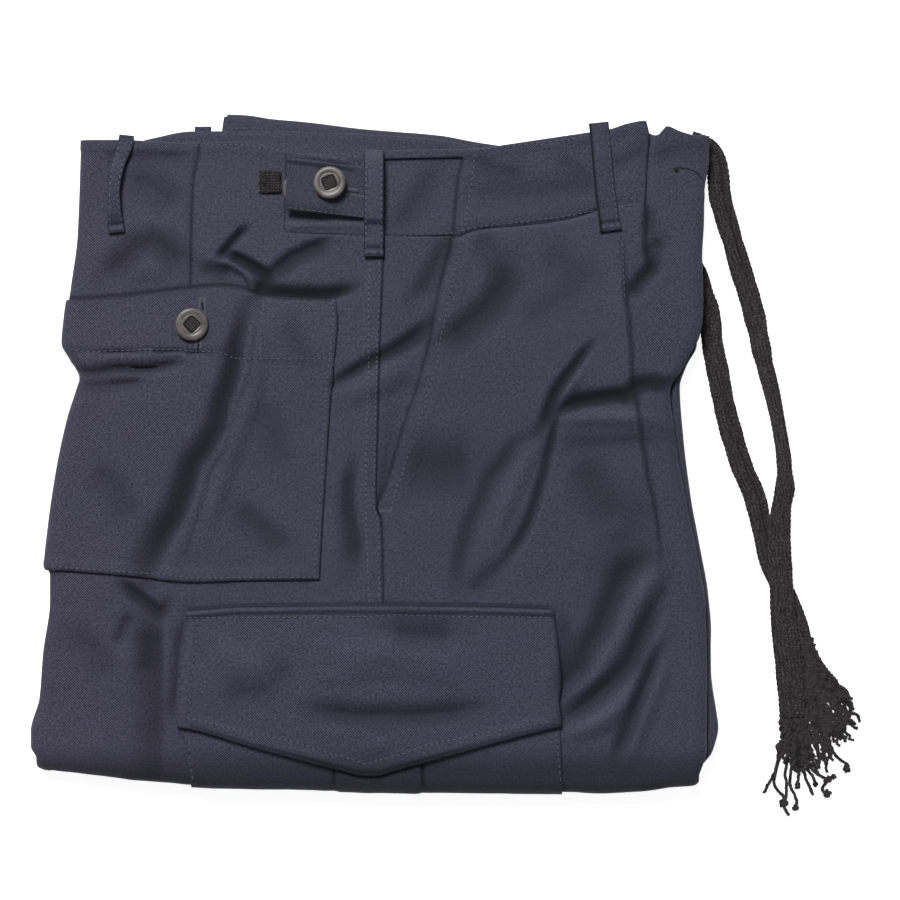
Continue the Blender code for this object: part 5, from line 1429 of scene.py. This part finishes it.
def adjuster_tab():
    """The tab lies over the hidden button at its free end and runs under the side belt loop at the other."""
    s, t = even((0, 1), (0, 1), 40, 31)
    a, b, c, d = TAB_CORNERS
    x, y = ((a[k] * (1 - s) + b[k] * s) * (1 - t) + (d[k] * (1 - s) + c[k] * s) * t for k in (0, 1))
    edge = np.minimum(np.minimum(t, 1 - t) * TAB_WIDE, s * TAB_LONG)
    crease = np.exp(-((t * TAB_WIDE - 2.4) / 0.8) ** 2) * soft_step(-9 - x, 8)
    press = -0.9 * np.exp(-((x - TAB_BUTTON[0]) ** 2 + (y - TAB_BUTTON[1]) ** 2) / 60)
    z = (top_height(x, y) + BAND_LIFT + curve(TAB_LIFT, x) + TAB_THICK
         - TAB_DROOP * soft_step(t - 0.8, 0.2) * soft_step(-12 - x, 12)
         + 0.35 * hem(edge, 2.6, 1.6) + press - 0.8 * crease + 0.15 * rumple(x, y, 7, 40.5))
    outer = np.stack([x, y, z], axis=2)
    # Painted shade in the crease under the upper edge near the free end and along the lower edge; the whole tab is a
    # little darker too.
    dark = 0.14 + 0.75 * crease + 0.3 * (t > 0.99)
    cloth("adjuster_tab", outer, TAB_THICK, outer[..., 1::-1], sides=0.0, hollow=dark)


adjuster_tab()

# %% [markdown]
# ## Buttons on woven tape
#
# These buttons have one square slot instead of four holes, and a woven tape runs through it. A button is turned on
# a lathe, so we turn its profile round in steps, but the innermost rings change from a circle to the
# square of the slot, which a Screw modifier couldn't do.

# %% Button and tape finishes
def grey_button():
    finish = Finish("grey_button", {"Roughness": 0.38, "Specular IOR Level": 0.5})
    room = finish.room()
    smoke, haze = finish.cloud(room, 180.0, 5.0), finish.cloud(room, 60.0)
    finish.paint(finish.mix(smoke * 1.9 + haze * 0.6 - 0.8, (0.042, 0.037, 0.036, 1), (0.150, 0.134, 0.130, 1)))
    finish.relief(smoke, 0.00004, 0.6)
    return finish.material


def woven_tape():
    finish = Finish("woven_tape", {"Roughness": 0.85, "Specular IOR Level": 0.25, "Sheen Weight": 0.1})
    uv, across, along = finish.place()
    wander = finish.cloud(uv, 500.0) * 0.0012
    warp = (across + wander).wave(0.0013) * 0.5 + 0.5
    weft = (along + wander).wave(0.0015) * 0.5 + 0.5
    height = warp * weft
    finish.relief(height, 0.0003, 0.9)
    # Painted shade: where the attribute hollow is high the tape turns near black.
    finish.paint(finish.mix(height, (0.013, 0.011, 0.012, 1), (0.082, 0.072, 0.071, 1)), (0.002, 0.002, 0.002, 1))
    return finish.material


BUTTON, TAPE = grey_button(), woven_tape()
print("finishes", BUTTON.name, TAPE.name)

# %% Buttons
BUTTONS = {
    "tab": {"place": TAB_BUTTON, "over": 5.9, "turn": 22, "lean": (-0.05, 0.06), "shank": 0.7, "tape": 2.2},
    "pocket": {"place": (-104.0, 73.2), "over": 1.4, "turn": 45, "lean": (0.09, -0.01), "shank": 1.2, "tape": 2.7},
    "hidden": {"place": (-43.4, 150.5), "over": 0.5, "turn": 12, "lean": (0.0, 0.0), "shank": 0.35, "tape": 1.9},
}
# Radius and height: the rounded rim, a narrow groove, the dished middle.
BUTTON_PROFILE = [
    (8.3, 0.0), (9.0, 0.25), (9.3, 0.8), (9.35, 1.3), (9.2, 1.85), (8.8, 2.25), (8.2, 2.42), (7.4, 2.44),
    (6.6, 2.36), (6.0, 2.24), (5.8, 2.1), (5.6, 2.02), (5.45, 2.04), (5.35, 2.08), (5.25, 2.1),
]
BUTTON_FACE = 2.1
BUTTON_SIDES = 56
SLOT_HALF = 3.8
SLOT_CORNER = 4.85
SEAT_REACH = 4.0
TAPE_HALF = 3.3
TAPE_FOOT = 0.35
TAPE_ACROSS = 9
# The tape's path through the slot and back, as shares of half its width and of its height.
TAPE_PROFILE = [(-1, 0.0), (-1, 0.5), (-0.97, 0.8), (-0.86, 0.95), (-0.6, 1.0), (-0.3, 0.97), (-0.06, 0.9), (0.06, 0.9),
                (0.3, 0.97), (0.6, 1.0), (0.86, 0.95), (0.97, 0.8), (1, 0.5), (1, 0.0)]
TAPE_PATCH = {"x": (-66.2, -53.6), "y": (161.0, 148.6), "over": 1.0, "thick": 0.8, "loop": (2.1, 1.8)}
PATCH_MIDDLE = (-59.9, 154.8)


def seat(key):
    """Where a button sits: its middle, two directions in the cloth, the direction out of it, and its turn."""
    spec = BUTTONS[key]
    x, y = spec["place"]
    around_it = SEAT_REACH * np.array([(0, 0), (1, 0), (-1, 0), (0, 1), (0, -1)])
    middle, east, west, north, south = (float(h) for h in top_height(x + around_it[:, 0], y + around_it[:, 1]))
    slopes = [(east - west) / (2 * SEAT_REACH), (north - south) / (2 * SEAT_REACH)]
    normal = Vector((spec["lean"][0] - slopes[0], spec["lean"][1] - slopes[1], 1)).normalized()
    along = (Vector((1, 0, 0)) - normal * normal.x).normalized()
    return Vector((x, y, middle + spec["over"])), along, normal.cross(along), normal, math.radians(spec["turn"])


def button(key):
    base, along, across, normal, turn = seat(key)
    base = base + normal * BUTTONS[key]["shank"]
    angles = [2 * math.pi * k / BUTTON_SIDES for k in range(BUTTON_SIDES)]
    slot = [min(SLOT_HALF / max(abs(math.cos(a - turn)), abs(math.sin(a - turn))), SLOT_CORNER) for a in angles]
    rings = [([r] * BUTTON_SIDES, h) for r, h in BUTTON_PROFILE]
    rings += [([s + d for s in slot], h)
              for d, h in ((0.25, BUTTON_FACE), (0.0, BUTTON_FACE - 0.25), (0.0, 0.25), (0.25, 0.0))]
    vertices = [base + (along * math.cos(a) + across * math.sin(a)) * r + normal * h
                for radii, h in rings for r, a in zip(radii, angles)]
    faces = [[k % len(vertices) for k in face] for face in skin(len(rings) + 1, BUTTON_SIDES)]
    return add("button_" + key + "_turned", vertices, faces, BUTTON)


def tape(key):
    """The woven tape comes up through the slot, turns over and goes down again: a soft rounded block."""
    base, along, across, normal, turn = seat(key)
    u = along * math.cos(turn) + across * math.sin(turn)
    v = across * math.cos(turn) - along * math.sin(turn)
    height = BUTTONS[key]["shank"] + BUTTONS[key]["tape"] - TAPE_FOOT
    vertices, uv = [], []
    for (a, h), far in zip(TAPE_PROFILE, walked(np.array(TAPE_PROFILE) * [TAPE_HALF, height])):
        for b in np.linspace(-1, 1, TAPE_ACROSS):
            up = TAPE_FOOT + h * height - 0.12 * abs(b) ** 6 * h
            vertices.append(base + u * (a * TAPE_HALF) + v * (b * TAPE_HALF) + normal * up)
            uv.append((b * TAPE_HALF, far))
    first = list(range(0, len(vertices), TAPE_ACROSS))
    faces = skin(len(TAPE_PROFILE), TAPE_ACROSS, closed=False)
    faces += [first, [k + TAPE_ACROSS - 1 for k in reversed(first)],
              [*reversed(range(TAPE_ACROSS)), *range(first[-1], len(vertices))]]
    return add("tape_" + key + "_woven", vertices, faces, TAPE, uv, smooth=False)


def tape_patch():
    """The woven tape that carries the hidden button, seen beside the free end of the tab."""
    x, y = even(TAPE_PATCH["x"], TAPE_PATCH["y"], 43, 43)
    knit = np.sin(2 * np.pi * x / TAPE_PATCH["loop"][0]) * np.sin(2 * np.pi * (y + 0.15 * x) / TAPE_PATCH["loop"][1])
    knit = knit + rumple(x, y, 1.3, 9.5)
    lobes = 1 + 0.09 * rumple(x, y, 3.2, 2.5) + 0.05 * rumple(x, y, 1.2, 6.5)
    x, y = (middle + (grid - middle) * lobes for middle, grid in zip(PATCH_MIDDLE, (x, y)))
    outer = np.stack([x, y, top_height(x, y) + TAPE_PATCH["over"] + TAPE_PATCH["thick"] + 0.25 * knit], axis=2)
    # Painted shade where the knitted loops lie low.
    return wall("tape_patch_woven", outer, TAPE_PATCH["thick"], outer[..., :2], finish=TAPE, sides=0.0,
                hollow=np.clip(0.35 - 0.8 * knit, 0, 1))


buttons = {key: button(key) for key in BUTTONS}
tapes = {key: tape(key) for key in BUTTONS}
tape_ground = tape_patch()
print(len(buttons), "buttons")

# %% [markdown]
# ## Stitches
#
# Rows of lockstitch run along every seam. A row is a line over the cloth; Geometry Nodes cut the line
# into equal steps and put one short, plump stitch on each. We could texture them, but real little forms catch the light
# at their ends, and they stay sharp when the camera comes close. The rows are found by dropping points on the cloth
# from above, as pins on a map.

# %% Stitch tree
def thread(name, low, high):
    finish = Finish(name, {"Roughness": 0.55, "Specular IOR Level": 0.4, "Sheen Weight": 0.1})
    twist = finish.cloud(finish.room(), 3200.0)
    finish.paint(finish.mix(twist, low, high))
    finish.relief(twist, 0.00008, 0.8)
    return finish.material


THREAD = thread("stitch_thread", (0.050, 0.052, 0.074, 1), (0.105, 0.109, 0.140, 1))
PALE_THREAD = thread("buttonhole_thread", (0.056, 0.058, 0.078, 1), (0.115, 0.120, 0.148, 1))
STITCH_INPUTS = {"Step": 0.0033, "Stitch length": 0.0024, "Thread radius": 0.00034, "Turn": 0.0, "Waver": 0.06,
                 "Seed": 7, "Thread material": THREAD}
stitching, given = node_group("stitching", STITCH_INPUTS)
line = stitching.node("GeometryNodeMeshToCurve", {"Mesh": given["Geometry"]})
stepped = stitching.node("GeometryNodeResampleCurve", {"Curve": line, "Length": given["Step"]}, mode="LENGTH")
bead = stitching.node("GeometryNodeMeshUVSphere", {"Segments": 6, "Rings": 4, "Radius": 1.0})
size = stitching.node("ShaderNodeCombineXYZ", {"X": given["Thread radius"], "Y": given["Thread radius"],
                                               "Z": given["Stitch length"] * 0.5})
grain = stitching.node("GeometryNodeTransform", {"Geometry": bead, "Scale": size})
tangent = stitching.node("GeometryNodeInputTangent")
aligned = stitching.node("FunctionNodeAlignRotationToVector", {"Vector": tangent}, axis="Z")
waver = stitching.node("FunctionNodeRandomValue", {2: given["Waver"] * -1.0, 3: given["Waver"], "Seed": given["Seed"]},
                       output=1, data_type="FLOAT")
spin = stitching.node("ShaderNodeCombineXYZ", {"Z": given["Turn"] + waver})
turned = stitching.node("FunctionNodeRotateRotation", {"Rotation": aligned, "Rotate By": spin},
                        rotation_space="GLOBAL")
placed = stitching.node("GeometryNodeInstanceOnPoints", {"Points": stepped, "Instance": grain, "Rotation": turned})
close_group(stitching, placed, given["Thread material"])

# %% Rows of stitches
# Rows of plain stitches, by the piece that carries them, as (x, y).
STITCH_ROWS = {
    # Its upper edge in two parts, its seam in two parts, the row that goes on from the slash, the second row at the
    # tab and the bar beside the front loop.
    "waistband": [
        [(-48.5, 172.5), (-31.5, 171.5), (-17, 170), (-7.5, 168.5)],
        [(58.5, 173), (74, 174.5), (94, 177), (108.5, 178.5), (120.5, 181)],
        [(-48.5, 125.5), (-31.5, 124.5), (-8.5, 124)],
        [(50.5, 127), (60, 129), (82.5, 131.5), (111, 135.5), (123.5, 138)],
        [(57, 173), (56, 161.5), (53, 141.5), (50.5, 124)], [(-17, 166.2), (-12, 165.4), (-7, 164.6)],
        [(137.8, 144.6), (146.5, 145.4)]],
    # The top of the facing and both rows of the side seam.
    "back_panel": [
        [(-102, 175.5), (-91, 176), (-77, 176), (-64.5, 174), (-52.5, 172.5)],
        [(-3, 107.5), (-3.5, 87.5), (-3.5, 52), (-4, 29), (-4.5, 9.5), (-5, -9.5), (-5, -28), (-4.5, -47.5), (-4, -62),
         (-3, -83.5)],
        [(2.5, 107.5), (2.5, 87.5), (1.5, 62), (1, 43), (0.5, 19), (0, -14), (-0.5, -28), (1.5, -38), (2.5, -56.5),
         (3, -83.5)]],
    "waistband_inset": [[(6.5, 124), (25.5, 124.5), (44, 125.5)]],
    # The hem, the side and the bottom.
    "back_pocket": [
        [(-176, 59), (-162.5, 58), (-145.5, 58.5), (-122, 59), (-112.5, 59), (-101.5, 58), (-88.5, 57.5), (-78.5, 54),
         (-65.5, 53.5), (-48.5, 54), (-25, 54)],
        [(-24, 86), (-23.5, 76), (-24.5, 64.5), (-26, 52), (-27, 40), (-28, 29), (-28.5, 17.5), (-29.5, 5), (-30, -19),
         (-32, -33.5), (-33, -47.5), (-34, -69.5)],
        [(-182, -64), (-168, -65.5), (-145.5, -67), (-122.5, -68.5), (-102.5, -70.5), (-69.5, -70.5), (-54, -70.5),
         (-33.5, -70)]],
    # The top, the back edge and the pointed edge.
    "cargo_flap": [
        [(-104.5, -93), (-54, -93), (-7, -92.5), (10.5, -91.5), (29.5, -92), (58, -92.5), (97.5, -93)],
        [(-100.5, -96), (-102, -112), (-103.5, -129), (-105, -148.5)],
        [(-105.5, -150), (-95, -152.5), (-74, -157.5), (-54, -161.5), (-42.5, -164.5), (-32.5, -167.5), (-20, -171.5),
         (-9.5, -174.5), (-4.5, -176), (0.5, -174.5), (10.5, -172), (20, -169), (29.5, -165.5), (48.5, -161.5),
         (62.5, -158.5), (82.5, -155), (97.5, -152)]],
    # The slash and the pleat.
    "front_panel": [
        [(50, 121), (46.5, 109), (44.5, 99), (42, 87.5), (39, 73), (37, 63.5), (35.5, 52), (32.5, 43), (30, 35),
         (28.5, 26.5), (25.5, 19), (24, 12.5), (21, 3.5), (18, -3.5), (15.5, -12.5), (12.5, -19), (10.5, -26.5),
         (9.5, -31)],
        [(141, 118.5), (141.5, 104.5), (142, 90)]],
    "cargo_pocket": [[(-105.5, -164.5), (-105, -174.5), (-103.5, -184)], [(103, -159.5), (104.5, -172), (105.5, -185)]],
    "adjuster_tab": [[(-48, 139.6), (-30, 137.2), (-8, 134.8)]],
    "belt_loop_side": [[(-5.4, 113.9), (4.2, 113.9)]],
    "belt_loop_front": [[(130.4, 129.0), (138.6, 130.2)]],
}
# Both edges of the belt loops, apart from the shaded one.
for node, path in LOOPS.items():
    STITCH_ROWS.setdefault(node, []).extend(
        [(x + edge * (wide / 2 - 1.2), y) for x, y, _, wide in path[1:-1]]
        for edge in (-1, 1) if (node, edge) != ("belt_loop_front", -1))
# Rows of close stitches across a line: the bar tack of the slash and both sides of the buttonholes.
TACK_ROWS = {
    "front_panel": [[(-3.5, -32.5), (9.5, -33)]],
    "adjuster_tab": [[(-15.8, 150.4), (-10.5, 149.8)], [(-13.5, 147.4), (-5.0, 145.6)]],
    "back_pocket": [[(-98.8, 88.6), (-99.6, 83.0), (-101.8, 60.0)], [(-96.6, 88.6), (-96.6, 83.0), (-99.0, 60.0)]],
}
# Buttonhole openings, drawn as dark beads of painted shade: piece, line and half width.
SLITS = [
    ("front_panel", [(171.0, 161.4), (171.6, 161.8), (172.4, 162.0)], 2.1),
    ("front_panel", [(173.6, 162.8), (179.6, 161.9), (184.0, 159.6), (185.8, 157.2)], 0.65),
    ("adjuster_tab", [(-15.6, 148.9), (-12.6, 148.4), (-9.7, 148.1)], 0.7),
    ("back_pocket", [(-98.3, 85.4), (-97.8, 83.6), (-97.3, 82.0)], 1.2),
    ("back_pocket", [(-99.9, 61.8), (-100.2, 60.2), (-100.5, 58.6)], 0.9),
]
# Painted shade: a near black finish for the buttonhole openings and for the needle holes between the stitches.
SHADE = Finish("needle_hole", {"Base Color": (0.004, 0.004, 0.007, 1), "Roughness": 0.9}).material
TACK = {"Step": 0.00075, "Stitch length": 0.0022, "Turn": math.pi / 2, "Thread radius": 0.00036, "Waver": 0.1,
        "Thread material": PALE_THREAD}
PRICK = {"Stitch length": 0.0011, "Thread radius": 0.0005, "Thread material": SHADE}
SLIT = {"Step": 0.0004, "Stitch length": 0.0016, "Thread material": SHADE}
ROW_STEP = 1.1
ROW_OVER = 0.02
DROP_FROM = 0.1
trees = {}


def on_cloth(name, path):
    """Points every millimetre or so along a path, dropped on a piece from above; what misses it is left out."""
    if name not in trees:
        mesh = PIECES[name].data
        trees[name] = BVHTree.FromPolygons([v.co[:] for v in mesh.vertices], [f.vertices[:] for f in mesh.polygons])
    found = []
    for x, y in smooth_route(path, max(3, int(walked(smooth_route(path, 200))[-1] / ROW_STEP))):
        hit = trees[name].ray_cast(Vector((x * MM, y * MM, DROP_FROM)), Vector((0, 0, -1)))[0]
        if hit:
            found.append((x, y, hit.z / MM + ROW_OVER))
    return found


def all_on_cloth(rows):
    """Every row of a table on the piece that carries it."""
    return {carrier: [on_cloth(carrier, path) for path in paths] for carrier, paths in rows.items()}


def sew(name, lines, inputs):
    """One object of stitches along several lines."""
    vertices, edges = [], []
    for found in lines:
        start = len(vertices)
        vertices += [tuple(c * MM for c in p) for p in found]
        edges += [(k, k + 1) for k in range(start, len(vertices) - 1)]
    mesh = bpy.data.meshes.new(name + "_guide")
    mesh.from_pydata(vertices, edges, [])
    piece = grown(name, stand(name + "_guide", mesh), stitching.tree, {**STITCH_INPUTS, **inputs})
    print(name, len(lines), "rows,", len(piece.data.polygons), "faces")
    return piece


def shortened(found, by, sink):
    """The same line with a little cut off both ends and sunk into the cloth."""
    points = np.array(found)
    along = walked(points)
    at = np.linspace(by, along[-1] - by, len(points))
    return np.column_stack([np.interp(at, along, column) for column in points.T]) - [0, 0, sink]


rows_of = all_on_cloth(STITCH_ROWS)
seams = {carrier: sew(carrier + "_stitches", lines, {}) for carrier, lines in rows_of.items()}
tacks = {carrier: sew(carrier + "_tacks", lines, TACK) for carrier, lines in all_on_cloth(TACK_ROWS).items()}
half_step = STITCH_INPUTS["Step"] / MM / 2
# Painted shade in the needle holes: dark beads half a step between the stitches.
holes = {carrier: [sew(carrier + "_prick_shade", [shortened(found, half_step, 0.3) for found in lines], PRICK)]
         for carrier, lines in rows_of.items() if carrier != "adjuster_tab"}
for k, (carrier, path, half) in enumerate(SLITS):
    slit = shortened(on_cloth(carrier, path), 0, half * 0.55)
    holes.setdefault(carrier, []).append(
        sew(carrier + "_slit_shade_" + str(k), [slit], {**SLIT, "Thread radius": half * MM}))

SHEETS = {
    "back_panel": (0.215, 0.400, None), "front_panel": (0.205, 0.400, 0.0740), "waistband": (0.052, 0.215, None),
    "waistband_inset": (0.055, 0.058, None), "pocket_facing": (0.055, 0.165, 0.0052),
    "waistband_right": (0.034, 0.206, None), "folded_legs": (0.39, 0.39, None), "back_pocket": (0.175, 0.165, None),
    "cargo_pocket": (0.21, 0.12, None), "cargo_flap": (0.21, 0.094, 0.0166), "adjuster_tab": (0.030, 0.055, None),
    "belt_loop_right": (0.0100, 0.015, None), "belt_loop_back": (0.011, 0.058, None),
    "belt_loop_side": (0.0115, 0.062, None), "belt_loop_front": (0.0118, 0.064, None),
}
bpy.context.view_layer.update()
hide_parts("fly_end")
for node, (wide, long, area) in SHEETS.items():
    piece = PIECES[node]
    settle(piece, "navy_drill", node)
    sewn = [made[node] for made in (seams, tacks) if node in made] + holes.get(node, [])
    for row in sewn:
        settle(row, "navy_drill")
for key in BUTTONS:
    settle(buttons[key], "grey_button", "button_" + key)
    settle(tapes[key], "woven_tape", "tape_" + key)
settle(tape_ground, "woven_tape", "tape_patch")
print(len(SHEETS), "sheets declared")

# %% [markdown]
# ## Floor and light
#
# Product photographs of clothes are taken on white, under large soft boxes. One soft box stands beyond the
# waist, a little to the left, and draws the folds; a white world fills their shadows.

# %% Floor
FLOOR_HALF = 4000.0
FLOOR_DROP = 0.2


def pale_floor():
    finish = Finish("pale_floor", {"Roughness": 0.9, "Specular IOR Level": 0.2, "Emission Strength": 0.86,
                                   "Emission Color": (1.0, 1.0, 1.0, 1)})
    finish.paint(finish.mix(finish.cloud(finish.room(), 3.0), (0.72, 0.72, 0.73, 1), (0.76, 0.76, 0.76, 1)))
    return finish.material


floor_corners = [(a * FLOOR_HALF, b * FLOOR_HALF, -FLOOR_DROP) for a, b in ((-1, -1), (1, -1), (1, 1), (-1, 1))]
floor = add("floor", floor_corners, [[0, 1, 2, 3]], pale_floor(), smooth=False)
print("floor", 2 * FLOOR_HALF * MM, "m wide")

# %% Light
# Name, place in metres, side, power and colour; all of them aim at the middle of the floor.
LIGHTS = [
    ("soft box beyond the waist", (-1.4, 3.8, 4.6), 2.2, 440.0, (0.99, 0.98, 1.0)),
    ("fill from the front", (0.9, -1.3, 1.9), 1.6, 4.0, (0.95, 0.97, 1.0)),
]
for name, place, size, power, colour in LIGHTS:
    data = bpy.data.lights.new(name, "AREA")
    data.shape, data.size, data.energy, data.color = "SQUARE", size, power, colour
    lamp = stand(name, data)
    lamp.location = place
    lamp.rotation_mode = "QUATERNION"
    lamp.rotation_quaternion = (-Vector(place)).to_track_quat("-Z", "Y")

world = bpy.data.worlds.new("white room")
world.use_nodes = True
world.node_tree.nodes["Background"].inputs["Color"].default_value = (1.0, 1.0, 1.0, 1)
world.node_tree.nodes["Background"].inputs["Strength"].default_value = 0.12
bpy.context.scene.world = world
bpy.context.scene.view_settings.view_transform = "Standard"
print(len(LIGHTS), "lights")
